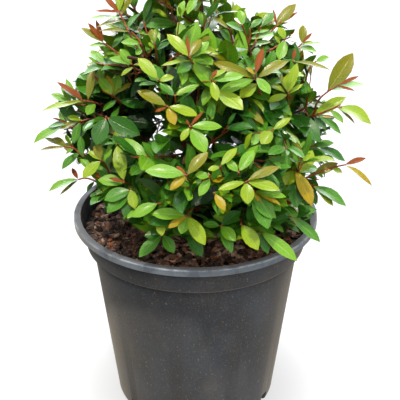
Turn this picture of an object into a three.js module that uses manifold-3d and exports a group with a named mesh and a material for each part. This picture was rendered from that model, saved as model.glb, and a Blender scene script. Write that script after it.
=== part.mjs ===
// Potted brush cherry: a bushy young shrub with pointed leaves in opposite pairs, in a round nursery pot.
// Millimetres, +Z up. The origin is the centre of the pot's flat underside, and -Y is the front.
import * as THREE from "three";
import { mergeVertices } from "three/addons/utils/BufferGeometryUtils.js";
import Module from "manifold-3d";

const wasm = await Module();
wasm.setup();

// Driving dimensions: clearance, the length that counts as nothing, and rounding
const SEAT_GAP = 0.3;
const WELD = 0.02;
const ROUND_SIDES = 32;

// Driving dimensions: pot
const POT = {
  height: 215,
  wall: 2.3,
  floor: 3,
  footRadius: 79,
  footRound: 8,
  footSteps: 3,
  baseRadius: 86,
  wallTopRadius: 107,
  collarRadius: 113,
  collarDepth: 31.5,
  lipUnderRadius: 118.6,
  lipRadius: 125,
  lipWidth: 6,
  lipHeight: 7,
  lipRound: 1.4,
};
const SLOT = { count: 10, firstDegrees: -30.5, width: 11, height: 13, depth: 32 };

// Driving dimensions: potting mix
const MIX = { edgeHeight: 197, middleHeight: 201, flatRadius: 24 };

// Driving dimensions: stem
const STEM = {
  baseRadius: 7.5,
  tipRadius: 2.6,
  flare: 5.5,
  flareHeight: 11,
  length: 184,
  lean: new THREE.Vector2(5, 4),
  sway: new THREE.Vector2(-9, 6),
  sides: 10,
  steps: 10,
};

// Driving dimensions: boughs, in tiers of opposite pairs; heights are above the potting mix
const BOUGH = { baseRadius: 3.4, tipRadius: 2.1, sides: 5, steps: 4, bend: 0.35 };
const TIERS = [
  { name: "skirt", count: 4, turn: 40, fork: 14, forkStep: 12, tip: [56, 36], heart: [100, 44] },
  { name: "shoulder", count: 4, turn: 85, fork: 46, forkStep: 16, tip: [58, 96], heart: [104, 114] },
  { name: "dome", count: 4, turn: 40, fork: 98, forkStep: 16, tip: [38, 160], heart: [70, 186] },
];
const TOP_HEART = 231;

// Driving dimensions: crown, the union of a wide skirt and a taller dome
const CROWN = {
  middle: 300,
  lowestPolar: 128,
  leafReach: 1.06,
  skirt: { radius: 163, centre: 285, half: 90, power: 2.5 },
  dome: { radius: 114, centre: 370, half: 102, power: 2.2 },
};

// The crown's lower edge is lifted on one side, where the potting mix shows
const HEM = { height: 208, lift: 42, towards: 222 };

// Driving dimensions: shoots
const SHOOT = {
  count: 124,
  inset: [12, 34],
  leaveSlope: 0.9,
  leaveRange: [0.15, 0.95],
  bend: 0.16,
  baseRadius: 1.4,
  tipRadius: 1.1,
  sides: 4,
  steps: 2,
  room: 0.04,
  settleStep: 0.08,
  settleTries: 8,
  checks: 12,
};
const SPRAY_STEM = { baseRadius: 2.6, tipRadius: 2, sides: 5, steps: 3, pastHeart: 0.3 };

// Driving dimensions: leaves, drawn larger than life because they are fewer
const LEAF = {
  seed: 39,
  pairs: 4,
  firstSpace: 3,
  space: 17,
  length: [50, 58],
  youngest: 0.7,
  width: 0.5,
  widest: 0.46,
  arch: 0.035,
  stalk: 0.08,
  sunk: 0.2,
  spread: [50, 72],
  spreadPlay: 10,
  outwardShare: 1.2,
  facePlay: 0.7,
};
const CLEARANCE = { space: 0.5, limb: 3.5, pot: 1 };

// Ways to seat a leaf, tried in turn until one keeps clear
const LEAF_TRIES = [
  { size: 1, open: 0, twist: 0 },
  { size: 1, open: -20, twist: 25 },
  { size: 1, open: 20, twist: -25 },
  { size: 0.85, open: 0, twist: 40 },
  { size: 0.85, open: -25, twist: -40 },
  { size: 0.7, open: 0, twist: 0 },
  { size: 0.7, open: -30, twist: 30 },
];

// Shoots that stand out of the even crown: where each one's tip is, across, deep and up
const LEADING_TIPS = [
  [143, -20, 252],
  [138, 10, 322],
  [124, 0, 352],
  [-122, -10, 294],
  [-114, -25, 244],
  [-84, 0, 392],
].map((tip) => new THREE.Vector3(...tip));

const { degToRad } = THREE.MathUtils;
const UP = new THREE.Vector3(0, 0, 1);
const GOLDEN_TURN = Math.PI * (3 - Math.sqrt(5));
const soilTop = MIX.middleHeight;
const crownMiddle = new THREE.Vector3(0, 0, CROWN.middle);

// Materials
const material = (color, roughness) => new THREE.MeshStandardMaterial({ color, roughness, metalness: 0 });
const potPlastic = material(0x3a3d41, 0.55);
const barkMix = material(0x33231a, 0.95);
const bark = material(0x7a4a33, 0.85);
const foliageGreens = [0x3f7a33, 0x4f8c38, 0x6a9f3c].map((green) => material(green, 0.45));

// A repeatable stream of numbers from 0 to 1
function seededRandom(seed) {
  const range = 4294967296;
  let state = (seed * 2654435761) % range;
  return () => {
    state = (state * 1664525 + 1013904223) % range;
    return state / range;
  };
}

const mix = (a, b, t) => a + (b - a) * t;

// The radius of a limb along its length
const taper = ({ baseRadius, tipRadius }) => (along) => mix(baseRadius, tipRadius, along);

// A closed geometry with shared vertices and no triangle that has shrunk to a line
function closedGeometry(geometry) {
  geometry.deleteAttribute("normal");
  geometry.deleteAttribute("uv");
  const merged = mergeVertices(geometry, WELD);
  const kept = [];
  for (let i = 0; i < merged.index.count; i += 3) {
    const [a, b, c] = [0, 1, 2].map((corner) => merged.index.getX(i + corner));
    if (a !== b && b !== c && c !== a) kept.push(a, b, c);
  }
  merged.setIndex(kept);
  return merged;
}

function toSolid(geometry) {
  const closed = closedGeometry(geometry);
  const vertProperties = Float32Array.from(closed.attributes.position.array);
  const triVerts = Uint32Array.from(closed.index.array);
  return new wasm.Manifold(new wasm.Mesh({ numProp: 3, vertProperties, triVerts }));
}

// The largest body of a solid, so that sealed hollows are filled and scraps dropped
function largestBody(solid) {
  const bodies = solid.decompose();
  return bodies.reduce((best, body) => (body.volume() > best.volume() ? body : best));
}

function toGeometry(solid) {
  const mesh = largestBody(solid).asOriginal().simplify(WELD).getMesh();
  const geometry = new THREE.BufferGeometry();
  geometry.setAttribute("position", new THREE.BufferAttribute(mesh.vertProperties, 3));
  geometry.setIndex(new THREE.BufferAttribute(mesh.triVerts, 1));
  geometry.computeVertexNormals();
  return geometry;
}

// A body of revolution about Z from [radius, height] corners
function lathe(corners) {
  const profile = corners.map(([radius, height]) => new THREE.Vector2(radius, height));
  return new THREE.LatheGeometry(profile, ROUND_SIDES).rotateX(Math.PI / 2);
}

// A tapering limb: a cylinder bent along a curve, with its cross-section held by a steady side vector
function limb(curve, side, radiusAt, sides, steps, roll = 0) {
  const tube = new THREE.CylinderGeometry(1, 1, 1, sides, steps, false, roll);
  const place = tube.attributes.position;
  const offset = new THREE.Vector3();
  for (let i = 0; i < place.count; i += 1) {
    const along = Math.round((place.getY(i) + 0.5) * steps) / steps;
    const tangent = curve.getTangent(along);
    const across = side.clone().addScaledVector(tangent, -side.dot(tangent)).normalize();
    const third = across.clone().cross(tangent);
    const radius = radiusAt(along);
    offset.copy(across).multiplyScalar(place.getX(i) * radius);
    offset.addScaledVector(third, place.getZ(i) * radius);
    offset.add(curve.getPoint(along));
    place.setXYZ(i, offset.x, offset.y, offset.z);
  }
  return tube;
}

// A side vector that stays square to a curve with one bend
function planeSide({ v0: from, v1: bend, v2: to }) {
  const side = bend.clone().sub(from).cross(to.clone().sub(from));
  return side.length() > WELD ? side.normalize() : new THREE.Vector3(0, 1, 0);
}

// Pot
function potInner() {
  const { height, wall, floor, footRadius, footRound, baseRadius } = POT;
  const ledge = height - POT.collarDepth - wall;
  return [
    [footRadius - wall, floor],
    [baseRadius - wall, floor + footRound],
    [POT.wallTopRadius - wall, ledge],
    [POT.collarRadius - wall, ledge + wall],
    [POT.lipRadius - POT.lipWidth - wall / 2, height - POT.lipHeight],
    [POT.lipRadius - POT.lipWidth, height],
  ];
}

function footArc() {
  const corner = new THREE.QuadraticBezierCurve(
    new THREE.Vector2(POT.footRadius, 0),
    new THREE.Vector2(POT.baseRadius, 0),
    new THREE.Vector2(POT.baseRadius, POT.footRound),
  );
  return corner.getPoints(POT.footSteps).map((point) => [point.x, point.y]);
}

function potGeometry() {
  const { height, lipRadius, lipRound } = POT;
  const collarBottom = height - POT.collarDepth;
  const lipBottom = height - POT.lipHeight;
  const outer = [
    [0, 0],
    ...footArc(),
    [POT.wallTopRadius, collarBottom],
    [POT.collarRadius, collarBottom],
    [POT.lipUnderRadius, lipBottom],
    [lipRadius, lipBottom],
    [lipRadius, height - lipRound],
    [lipRadius - lipRound, height],
  ];
  let pot = toSolid(lathe([...outer, ...potInner().reverse(), [0, POT.floor]]));
  for (let i = 0; i < SLOT.count; i += 1) {
    const slot = new THREE.BoxGeometry(SLOT.depth, SLOT.width, SLOT.height * 2);
    slot.translate(POT.baseRadius, 0, 0);
    slot.rotateZ(degToRad(SLOT.firstDegrees + (360 / SLOT.count) * i));
    pot = pot.subtract(toSolid(slot));
  }
  return toGeometry(pot);
}

// Potting mix: fills the pot, low at the edge and with a flat patch under the stem
function mixGeometry() {
  const inner = potInner();
  const [low, high] = inner.slice(-3, -1);
  const edgeRadius = mix(low[0], high[0], (MIX.edgeHeight - low[1]) / (high[1] - low[1]));
  const side = [...inner.slice(0, -2), [edgeRadius, MIX.edgeHeight]];
  const seated = side.map(([radius, height]) => [radius - SEAT_GAP, height + SEAT_GAP]);
  const top = [[MIX.flatRadius, MIX.middleHeight], [0, MIX.middleHeight]];
  return closedGeometry(lathe([[0, POT.floor + SEAT_GAP], ...seated, ...top]));
}

// Stem
const stemFoot = soilTop + SEAT_GAP;
const stemCurve = new THREE.CubicBezierCurve3(
  new THREE.Vector3(0, 0, stemFoot),
  new THREE.Vector3(0, 0, stemFoot + STEM.length / 3),
  new THREE.Vector3(STEM.sway.x, STEM.sway.y, stemFoot + (STEM.length * 2) / 3),
  new THREE.Vector3(STEM.lean.x, STEM.lean.y, stemFoot + STEM.length),
);
function stemRadius(along) {
  const flare = STEM.flare * Math.exp((-along * STEM.length) / STEM.flareHeight);
  return mix(STEM.baseRadius, STEM.tipRadius, along) + flare;
}

const stemLimb = (grow) =>
  limb(stemCurve, new THREE.Vector3(1, 0, 0), (along) => stemRadius(along) + grow, STEM.sides, STEM.steps);

// Boughs and the hearts of the foliage masses that they carry
function ringPoint(degrees, [radius, height]) {
  const turn = degToRad(degrees);
  return new THREE.Vector3(radius * Math.cos(turn), radius * Math.sin(turn), soilTop + height);
}

function makeBoughs() {
  const boughs = [];
  for (const tier of TIERS) {
    for (let i = 0; i < tier.count; i += 1) {
      const degrees = tier.turn + (360 / tier.count) * i;
      const forkHeight = tier.fork + tier.forkStep * (i % (tier.count / 2));
      const from = stemCurve.getPoint(forkHeight / STEM.length);
      const to = ringPoint(degrees, tier.tip);
      const bend = from.clone().lerp(to, 0.5);
      bend.z = mix(from.z, to.z, BOUGH.bend);
      const curve = new THREE.QuadraticBezierCurve3(from, bend, to);
      boughs.push({ name: `${tier.name}_${i + 1}`, curve, heart: ringPoint(degrees, tier.heart) });
    }
  }
  return boughs;
}

const boughRadius = taper(BOUGH);

function boughGeometry(bough, thickStem) {
  const solid = toSolid(limb(bough.curve, planeSide(bough.curve), boughRadius, BOUGH.sides, BOUGH.steps));
  return toGeometry(solid.subtract(thickStem));
}

// Crown
function insideCrown(point) {
  const across = Math.hypot(point.x, point.y);
  return [CROWN.skirt, CROWN.dome].some(({ radius, centre, half, power }) =>
    (across / radius) ** power + (Math.abs(point.z - centre) / half) ** power < 1);
}

const shrinkToMiddle = (point, times) => point.clone().sub(crownMiddle).divideScalar(times).add(crownMiddle);

// How far the crown reaches from its middle along a direction
function crownReach(direction) {
  let [near, far] = [0, 2 * CROWN.skirt.radius];
  while (far - near > WELD) {
    const half = (near + far) / 2;
    if (insideCrown(direction.clone().multiplyScalar(half).add(crownMiddle))) near = half;
    else far = half;
  }
  return near;
}

function hemHeight(turn) {
  const facing = Math.max(0, Math.cos(turn - degToRad(HEM.towards)));
  return HEM.height + HEM.lift * facing ** 2;
}

// Shoot tips spread evenly over the crown above its hem, each a little inside it, then the leading shoots
function shootTips() {
  const tips = [];
  const lowest = Math.cos(degToRad(CROWN.lowestPolar));
  for (let i = 0; i < SHOOT.count; i += 1) {
    const random = seededRandom(i + 1);
    const rise = mix(1, lowest, (i + 0.5) / SHOOT.count);
    const turn = i * GOLDEN_TURN;
    const across = Math.sqrt(1 - rise * rise);
    const direction = new THREE.Vector3(across * Math.cos(turn), across * Math.sin(turn), rise);
    const reach = crownReach(direction) - mix(...SHOOT.inset, random());
    const point = direction.multiplyScalar(reach).add(crownMiddle);
    if (point.z > hemHeight(turn)) tips.push({ point, leading: false });
  }
  return [...tips, ...LEADING_TIPS.map((point) => ({ point, leading: true }))];
}

// Foliage masses: each takes the shoots that are nearer to its own heart than to any other
function makeMasses(boughs) {
  const top = { name: "top", curve: stemCurve, heart: new THREE.Vector3(0, 0, soilTop + TOP_HEART) };
  const masses = [...boughs, top].map(({ name, curve, heart }) => ({ name, curve, heart, tips: [] }));
  for (const tip of shootTips()) {
    const away = (mass) => mass.heart.distanceToSquared(tip.point);
    masses.reduce((best, mass) => (away(mass) < away(best) ? mass : best)).tips.push(tip);
  }
  return masses;
}

// Whether a point is on a mass's own side of the plane half way to every other heart
function inOwnSpace(point, mass, masses) {
  return masses.every((other) => {
    if (other === mass) return true;
    const apart = other.heart.clone().sub(mass.heart);
    const middle = mass.heart.clone().lerp(other.heart, 0.5);
    return point.clone().sub(middle).dot(apart) / apart.length() < -CLEARANCE.space;
  });
}

// Above the potting mix, over the lip, or outside the pot
function clearOfPot(point) {
  const across = Math.hypot(point.x, point.y);
  if (across < POT.collarRadius - POT.wall - CLEARANCE.pot) return point.z > soilTop + CLEARANCE.pot;
  return across > POT.lipRadius + CLEARANCE.pot || point.z > POT.height + CLEARANCE.pot;
}

// The stem and boughs as short straight stretches with a radius, for clearance
function limbStretches(boughs) {
  const cut = (curve, radiusAt, steps) =>
    curve.getPoints(steps).slice(1).map((to, i) => ({
      line: new THREE.Line3(curve.getPoint(i / steps), to),
      radius: radiusAt(i / steps),
    }));
  const boughCuts = boughs.map((bough) => cut(bough.curve, boughRadius, BOUGH.steps));
  return [cut(stemCurve, stemRadius, STEM.steps), ...boughCuts].flat();
}

function clearOfLimbs(points, around, stretches) {
  const nearest = new THREE.Vector3();
  return stretches.every(({ line, radius }) =>
    points.every((point) => {
      line.closestPointToPoint(point, true, nearest);
      return nearest.distanceTo(point) > radius + around;
    }));
}

// A leaf blade: a kite arched over the line between its two side corners, its root sunk in the twig
function leafCorners(root, along, face, length) {
  const across = along.clone().cross(face);
  const half = (length * LEAF.width) / 2;
  const middle = root.clone().addScaledVector(along, length * LEAF.widest);
  middle.addScaledVector(face, length * LEAF.arch);
  return [
    root.clone().addScaledVector(along, -LEAF.sunk),
    middle.clone().addScaledVector(across, half),
    root.clone().addScaledVector(along, length),
    middle.clone().addScaledVector(across, -half),
  ];
}

function leafGeometry([root, right, tip, left]) {
  const faces = [[root, right, left], [tip, left, right], [root, tip, right], [root, left, tip]];
  return new THREE.BufferGeometry().setFromPoints(faces.flat());
}

// Whether a straight line from one point to another goes through a blade
function lineMeetsBlade(from, to, [root, right, tip, left]) {
  const way = to.clone().sub(from);
  const ray = new THREE.Ray(from, way.clone().normalize());
  const hit = new THREE.Vector3();
  return [right, left].some((side) =>
    ray.intersectTriangle(root, side, tip, false, hit) && hit.distanceTo(from) < way.length());
}

function pathMeetsBlade(points, blade) {
  return points.slice(1).some((to, i) => lineMeetsBlade(points[i], to, blade));
}

// Whether two blades cross anywhere but at their stalks
function bladesCross(one, other) {
  const [first, second] = [one, other].map(([root, right, tip, left]) => {
    const stalkEnd = root.clone().lerp(tip, LEAF.stalk);
    return [stalkEnd, right, tip, left];
  });
  const lines = [[0, 1], [1, 2], [2, 3], [3, 0], [0, 2], [1, 3]];
  return lines.some(([a, b]) =>
    lineMeetsBlade(first[a], first[b], second) || lineMeetsBlade(second[a], second[b], first));
}

// The leaves of one shoot, in pairs that turn a quarter from one to the next, youngest at the tip
function shootLeaves(twig, side, roll, random, fits) {
  const leaves = [];
  const length = twig.getLength();
  for (let pair = 0; pair < LEAF.pairs; pair += 1) {
    const back = (LEAF.firstSpace + LEAF.space * pair) / length;
    if (back > 1) break;
    const root = twig.getPoint(1 - back);
    const tangent = twig.getTangent(1 - back);
    const third = side.clone().cross(tangent);
    const age = pair / (LEAF.pairs - 1);
    for (const way of [0, Math.PI]) {
      const turn = Math.PI / 4 - roll + way + (pair * Math.PI) / 2;
      const outward = side.clone().multiplyScalar(Math.cos(turn)).addScaledVector(third, Math.sin(turn));
      const spread = mix(...LEAF.spread, age) + LEAF.spreadPlay * (random() - 0.5);
      const size = mix(...LEAF.length, random()) * mix(LEAF.youngest, 1, Math.min(1, age * 2));
      const sky = UP.clone().addScaledVector(root.clone().sub(crownMiddle).normalize(), LEAF.outwardShare);
      const play = new THREE.Vector3(random() - 0.5, random() - 0.5, random() - 0.5);
      sky.addScaledVector(play, LEAF.facePlay);
      for (const change of LEAF_TRIES) {
        const open = degToRad(spread + change.open);
        const along = tangent.clone().multiplyScalar(Math.cos(open)).addScaledVector(outward, Math.sin(open));
        const face = sky.clone().addScaledVector(along, -sky.dot(along)).normalize();
        face.applyAxisAngle(along, degToRad(change.twist));
        const corners = leafCorners(root, along, face, size * change.size);
        if (fits(corners, leaves)) {
          leaves.push(corners);
          break;
        }
      }
    }
  }
  return leaves;
}

// The stem that carries a mass on from the tip of its limb to a little past its heart
function sprayStem(mass) {
  const limbTip = mass.curve.getPoint(1);
  const onward = mass.curve.getTangent(1);
  const from = limbTip.clone().addScaledVector(onward, SEAT_GAP);
  const to = mass.heart.clone().lerp(limbTip, -SPRAY_STEM.pastHeart);
  const bend = from.clone().addScaledVector(onward, from.distanceTo(to) / 2);
  return new THREE.QuadraticBezierCurve3(from, bend, to);
}

// A twig that leaves the spray's stem on a slant and bends out to its tip
function shootTwig(stem, tip, mass, fitsSpace) {
  const settled = tip.clone();
  for (let i = 0; i < SHOOT.settleTries; i += 1) {
    if (fitsSpace(settled.clone().lerp(mass.heart, -SHOOT.room))) break;
    settled.lerp(mass.heart, SHOOT.settleStep);
  }
  const line = stem.v2.clone().sub(stem.v0);
  const way = settled.clone().sub(stem.v0);
  const forward = way.dot(line) / line.lengthSq();
  const aside = way.addScaledVector(line, -forward).length() / line.length();
  const leave = THREE.MathUtils.clamp(forward - aside * SHOOT.leaveSlope, ...SHOOT.leaveRange);
  const from = stem.getPoint(leave);
  const middle = from.clone().lerp(settled, 0.5);
  const bend = middle.clone().addScaledVector(line.normalize(), SHOOT.bend * from.distanceTo(settled));
  while (!fitsSpace(bend) && bend.distanceTo(middle) > WELD) bend.lerp(middle, 0.5);
  return new THREE.QuadraticBezierCurve3(from, bend, settled);
}

// The twigs of one mass that stay in its space and clear of the limbs
function massTwigs(mass, stem, fitsSpace, stretches) {
  const twigs = [];
  for (const { point, leading } of mass.tips) {
    const curve = shootTwig(stem, point, mass, fitsSpace);
    const points = curve.getPoints(SHOOT.checks);
    const free = clearOfLimbs(points, SHOOT.baseRadius + CLEARANCE.space, stretches);
    if (free && points.every(fitsSpace)) twigs.push({ curve, points, leading });
  }
  return twigs;
}

// One mass: its stem, the twigs out to the shoot tips, and their leaves
function massGeometry(mass, masses, stretches, seed) {
  const fitsSpace = (point) => inOwnSpace(point, mass, masses) && clearOfPot(point);
  const stem = sprayStem(mass);
  const twigs = massTwigs(mass, stem, fitsSpace, stretches);
  const solids = [limb(stem, planeSide(stem), taper(SPRAY_STEM), SPRAY_STEM.sides, SPRAY_STEM.steps)];
  const blades = [];
  twigs.forEach((twig, order) => {
    const random = seededRandom(seed * SHOOT.count + order);
    const roll = random() * Math.PI;
    const side = planeSide(twig.curve);
    solids.push(limb(twig.curve, side, taper(SHOOT), SHOOT.sides, SHOOT.steps, roll));
    const inReach = (point) => twig.leading || insideCrown(shrinkToMiddle(point, CROWN.leafReach));
    const fits = (corners, siblings) => {
      const points = corners.flatMap((corner) => [corner, corner.clone().lerp(corners[0], 0.5)]);
      if (!points.every((point) => fitsSpace(point) && inReach(point))) return false;
      if (!clearOfLimbs(points, CLEARANCE.limb, stretches)) return false;
      if (stretches.some(({ line }) => lineMeetsBlade(line.start, line.end, corners))) return false;
      if (twigs.some((other) => other !== twig && pathMeetsBlade(other.points, corners))) return false;
      return ![...blades, ...siblings].some((other) => bladesCross(corners, other));
    };
    blades.push(...shootLeaves(twig.curve, side, roll, random, fits));
  });
  solids.push(...blades.map(leafGeometry));
  return toGeometry(solids.map(toSolid).reduce((whole, piece) => whole.add(piece)));
}

// Assembly
const brushCherry = new THREE.Group();

function addPiece(name, geometry, finish) {
  const mesh = new THREE.Mesh(geometry, finish);
  mesh.name = name;
  brushCherry.add(mesh);
}

addPiece("pot", potGeometry(), potPlastic);
addPiece("potting_mix", mixGeometry(), barkMix);
addPiece("stem", closedGeometry(stemLimb(0)), bark);
const boughs = makeBoughs();
const thickStem = toSolid(stemLimb(SEAT_GAP));
for (const bough of boughs) addPiece(`bough_${bough.name}`, boughGeometry(bough, thickStem), bark);
const masses = makeMasses(boughs);
const stretches = limbStretches(boughs);
masses.forEach((mass, i) => {
  const geometry = massGeometry(mass, masses, stretches, LEAF.seed + i);
  addPiece(`foliage_${mass.name}`, geometry, foliageGreens[i % foliageGreens.length]);
});

export default brushCherry;
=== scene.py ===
"""Dresses the potted brush cherry: pot, potting mix, woody limbs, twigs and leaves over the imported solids.

The growth is worked out in millimetres, by the rule that drew the solids, and meshes are made in metres.
"""

import logging
import math
from collections.abc import Callable, Sequence
from dataclasses import dataclass, field
from enum import Enum
from itertools import pairwise
from typing import TypeVar

import bpy
import numpy as np
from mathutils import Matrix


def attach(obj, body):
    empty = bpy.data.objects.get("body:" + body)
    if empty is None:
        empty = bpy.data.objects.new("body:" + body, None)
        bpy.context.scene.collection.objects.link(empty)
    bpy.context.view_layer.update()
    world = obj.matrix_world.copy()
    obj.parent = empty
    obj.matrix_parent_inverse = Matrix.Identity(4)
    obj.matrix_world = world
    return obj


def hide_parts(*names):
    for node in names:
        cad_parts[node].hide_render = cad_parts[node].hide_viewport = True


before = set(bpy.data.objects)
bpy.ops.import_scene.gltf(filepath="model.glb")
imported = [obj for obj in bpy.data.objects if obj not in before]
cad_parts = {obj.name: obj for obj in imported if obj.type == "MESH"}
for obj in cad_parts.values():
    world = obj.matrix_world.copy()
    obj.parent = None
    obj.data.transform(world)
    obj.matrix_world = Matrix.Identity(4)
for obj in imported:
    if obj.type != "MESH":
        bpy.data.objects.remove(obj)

LOG = logging.getLogger("brush_cherry")
MM = 0.001
BODY = "root"
LEAF_MAP = "OFBake"
UP = np.array((0.0, 0.0, 1.0))
GOLDEN_TURN = math.pi * (3 - math.sqrt(5))
SOIL_TOP = 201.0
SEAT_GAP = 0.3
TINY = 1e-9
LEAST_CURL = 1e-3
WIDEST_SHARE = 0.55
TO_PICTURE = np.array((0, -0.77, 0.64))
OUTWARD_LEAN = 0.2
CORNER_SHARE = 0.3
CORNER_RING = 1.5
CORNER_STEPS = 4

Span = tuple[float, float]
Pixel = tuple[float, float]
Triple = tuple[float, float, float]
Face = tuple[int, ...]
Point = np.ndarray
Piece = bpy.types.Object
Material = bpy.types.Material
Socket = bpy.types.NodeSocket
Inputs = dict[int | str, object]
Option = TypeVar("Option")


def paint(code: str) -> Triple:
    """Turns a screen colour into a linear one.

    Args:
        code: Six hex digits, two each for red, green and blue.

    Returns:
        The linear colour that a shader takes.
    """
    shares = (int(code[i : i + 2], 16) / 255 for i in (0, 2, 4))
    return tuple(s / 12.92 if s <= 0.04045 else ((s + 0.055) / 1.055) ** 2.4 for s in shares)


def unit(vector: Point) -> Point:
    """A vector brought to length one."""
    return vector / max(float(np.linalg.norm(vector)), TINY)


def mix(low: float, high: float, share: float) -> float:
    """A number a share of the way from low to high."""
    return low + (high - low) * share


class SeededStream:
    """A repeatable stream of numbers from 0 to 1."""

    RANGE = 2**32
    SPREAD = 2654435761
    FACTOR = 1664525
    STEP = 1013904223

    def __init__(self, seed: int) -> None:
        """Starts the stream.

        Args:
            seed: A whole number that picks the stream.
        """
        self._state = seed * self.SPREAD % self.RANGE

    def __call__(self) -> float:
        """The next number."""
        self._state = (self._state * self.FACTOR + self.STEP) % self.RANGE
        return self._state / self.RANGE

    def between(self, low: float, high: float) -> float:
        """The next number, spread over a range."""
        return mix(low, high, self())

    def play(self, size: float) -> Point:
        """A small random vector."""
        return np.array((self() - 0.5, self() - 0.5, self() - 0.5)) * 2 * size

    def pick(self, shares: Sequence[tuple[Option, float]]) -> Option:
        """Picks one of several options by their shares.

        Args:
            shares: Each option with its share; the shares add up to one.

        Returns:
            The option that the next number falls on.
        """
        left = self()
        for option, share in shares:
            left -= share
            if left < 0:
                return option
        return shares[-1][0]


@dataclass(frozen=True)
class Curve:
    """A Bezier curve in space, from its first corner to its last."""

    corners: tuple[Point, ...]

    def _between(self, share: float, left: int) -> list[Point]:
        """The corners, drawn together until only a few are left.

        Args:
            share: How far along the curve they are drawn together.
            left: How many are left.

        Returns:
            The points that are left.
        """
        rest = list(self.corners)
        while len(rest) > left:
            rest = [a + (b - a) * share for a, b in pairwise(rest)]
        return rest

    def point(self, share: float) -> Point:
        """The point a share of the way along."""
        return self._between(share, 1)[0]

    def tangent(self, share: float) -> Point:
        """The direction a share of the way along."""
        start, end = self._between(share, 2)
        return unit(end - start)

    def points(self, steps: int) -> Point:
        """Points spread along the curve, both ends among them."""
        return np.array([self.point(i / steps) for i in range(steps + 1)])


class Path:
    """A shoot's centre line, measured back from its tip."""

    PLACES = 60

    def __init__(self, points: Point) -> None:
        """Measures the line.

        Args:
            points: The line's points, from its foot to its tip.
        """
        self.points = points
        gaps = np.linalg.norm(np.diff(points, axis=0), axis=1)
        self._along = np.concatenate(([0.0], np.cumsum(gaps)))
        self.length = float(self._along[-1])

    def back(self, distance: float) -> tuple[Point, Point]:
        """Finds a place on the line.

        Args:
            distance: How far the place is from the tip.

        Returns:
            The place and the line's direction there.
        """
        along = max(0.0, self.length - distance)
        i = min(int(np.searchsorted(self._along, along, side="right")), len(self.points) - 1)
        start, end = self.points[i - 1], self.points[i]
        share = (along - self._along[i - 1]) / max(self._along[i] - self._along[i - 1], TINY)
        return start + (end - start) * share, unit(end - start)

    def short_of(self, distance: float) -> Point:
        """The line's points, less a length of its tip."""
        kept = self.points[self._along < self.length - distance]
        return np.vstack((kept, self.back(distance)[0]))

    def nearest(self, point: Point) -> Point:
        """The place on the line that is nearest to a point."""
        places = [self.back(share * self.length)[0] for share in np.linspace(0, 1, self.PLACES)]
        return min(places, key=lambda place: float(np.linalg.norm(place - point)))


@dataclass(frozen=True)
class Lobe:
    """One of the round forms that the crown is the union of."""

    radius: float
    centre: float
    half: float
    power: float

    def holds(self, point: Point) -> bool:
        """Whether a point is in the form.

        Args:
            point: The point.

        Returns:
            True where it is.
        """
        across = math.hypot(point[0], point[1]) / self.radius
        rise = abs(point[2] - self.centre) / self.half
        return across**self.power + rise**self.power < 1


@dataclass(frozen=True)
class Crown:
    """The crown's outline, its lower edge and the shoot tips spread over it."""

    middle: float = 300.0
    lowest_polar: float = 128.0
    leaf_reach: float = 1.06
    lobes: tuple[Lobe, ...] = (Lobe(163, 285, 90, 2.5), Lobe(114, 370, 102, 2.2))
    hem: float = 208.0
    hem_lift: float = 42.0
    hem_towards: float = 222.0
    bare_towards: float = 208.0
    bare_width: float = 1.25
    bare_depth: float = 62.0
    bare_power: float = 0.6
    hem_start: float = 108.0
    hem_slope: float = 0.75
    shoots: int = 124
    inset: Span = (12.0, 34.0)
    hem_gap: float = 2.0
    exact: float = 0.02

    @property
    def centre(self) -> Point:
        """The crown's middle."""
        return UP * self.middle

    def inside(self, point: Point) -> bool:
        """Whether a point is in the crown."""
        return any(lobe.holds(point) for lobe in self.lobes)

    def in_reach(self, point: Point) -> bool:
        """Whether a leaf may reach to a point."""
        return self.inside(self.centre + (point - self.centre) / self.leaf_reach)

    def reach(self, direction: Point) -> float:
        """How far the crown goes from its middle along a direction.

        Args:
            direction: The direction, of length one.

        Returns:
            The distance to its skin.
        """
        near, far = 0.0, 2 * self.lobes[0].radius
        while far - near > self.exact:
            half = (near + far) / 2
            if self.inside(self.centre + direction * half):
                near = half
            else:
                far = half
        return near

    def hem_at(self, turn: float) -> float:
        """The height of the crown's lower edge, lifted on one side."""
        facing = max(0.0, math.cos(turn - math.radians(self.hem_towards)))
        return self.hem + self.hem_lift * facing**2

    def leaf_hem_at(self, point: Point) -> float:
        """The height that leaves hang down to, higher further out and on the side that is left bare.

        Args:
            point: A point of the leaf.

        Returns:
            The height under that point.
        """
        across = math.hypot(point[0], point[1])
        aside = math.remainder(math.atan2(point[1], point[0]) - math.radians(self.bare_towards), math.tau)
        facing = max(0.0, math.cos(min(abs(aside) * self.bare_width, math.pi / 2))) ** self.bare_power
        start = self.hem_start - self.bare_depth * facing
        return SOIL_TOP + self.hem_gap + self.hem_slope * max(0.0, across - start)

    def depth(self, point: Point) -> float:
        """How deep a point lies in the crown, from 0 at its skin to 1 in its middle."""
        away = point - self.centre
        return max(0.0, 1 - float(np.linalg.norm(away)) / self.reach(unit(away)))

    def shoot_tips(self) -> list[Point]:
        """The shoot tips, spread evenly over the crown.

        Returns:
            The tips that lie above its lower edge.
        """
        tips = []
        lowest = math.cos(math.radians(self.lowest_polar))
        for i in range(self.shoots):
            rise = mix(1, lowest, (i + 0.5) / self.shoots)
            turn = i * GOLDEN_TURN
            across = math.sqrt(1 - rise * rise)
            direction = np.array((across * math.cos(turn), across * math.sin(turn), rise))
            inset = SeededStream(i + 1).between(*self.inset)
            point = self.centre + direction * (self.reach(direction) - inset)
            if point[2] > max(self.hem_at(turn), self.leaf_hem_at(point)):
                tips.append(point)
        return tips


@dataclass(frozen=True)
class Tier:
    """A ring of boughs in opposite pairs; heights are above the potting mix."""

    turn: float
    fork: float
    fork_step: float
    tip: Span
    heart: Span
    count: int = 4


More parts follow.
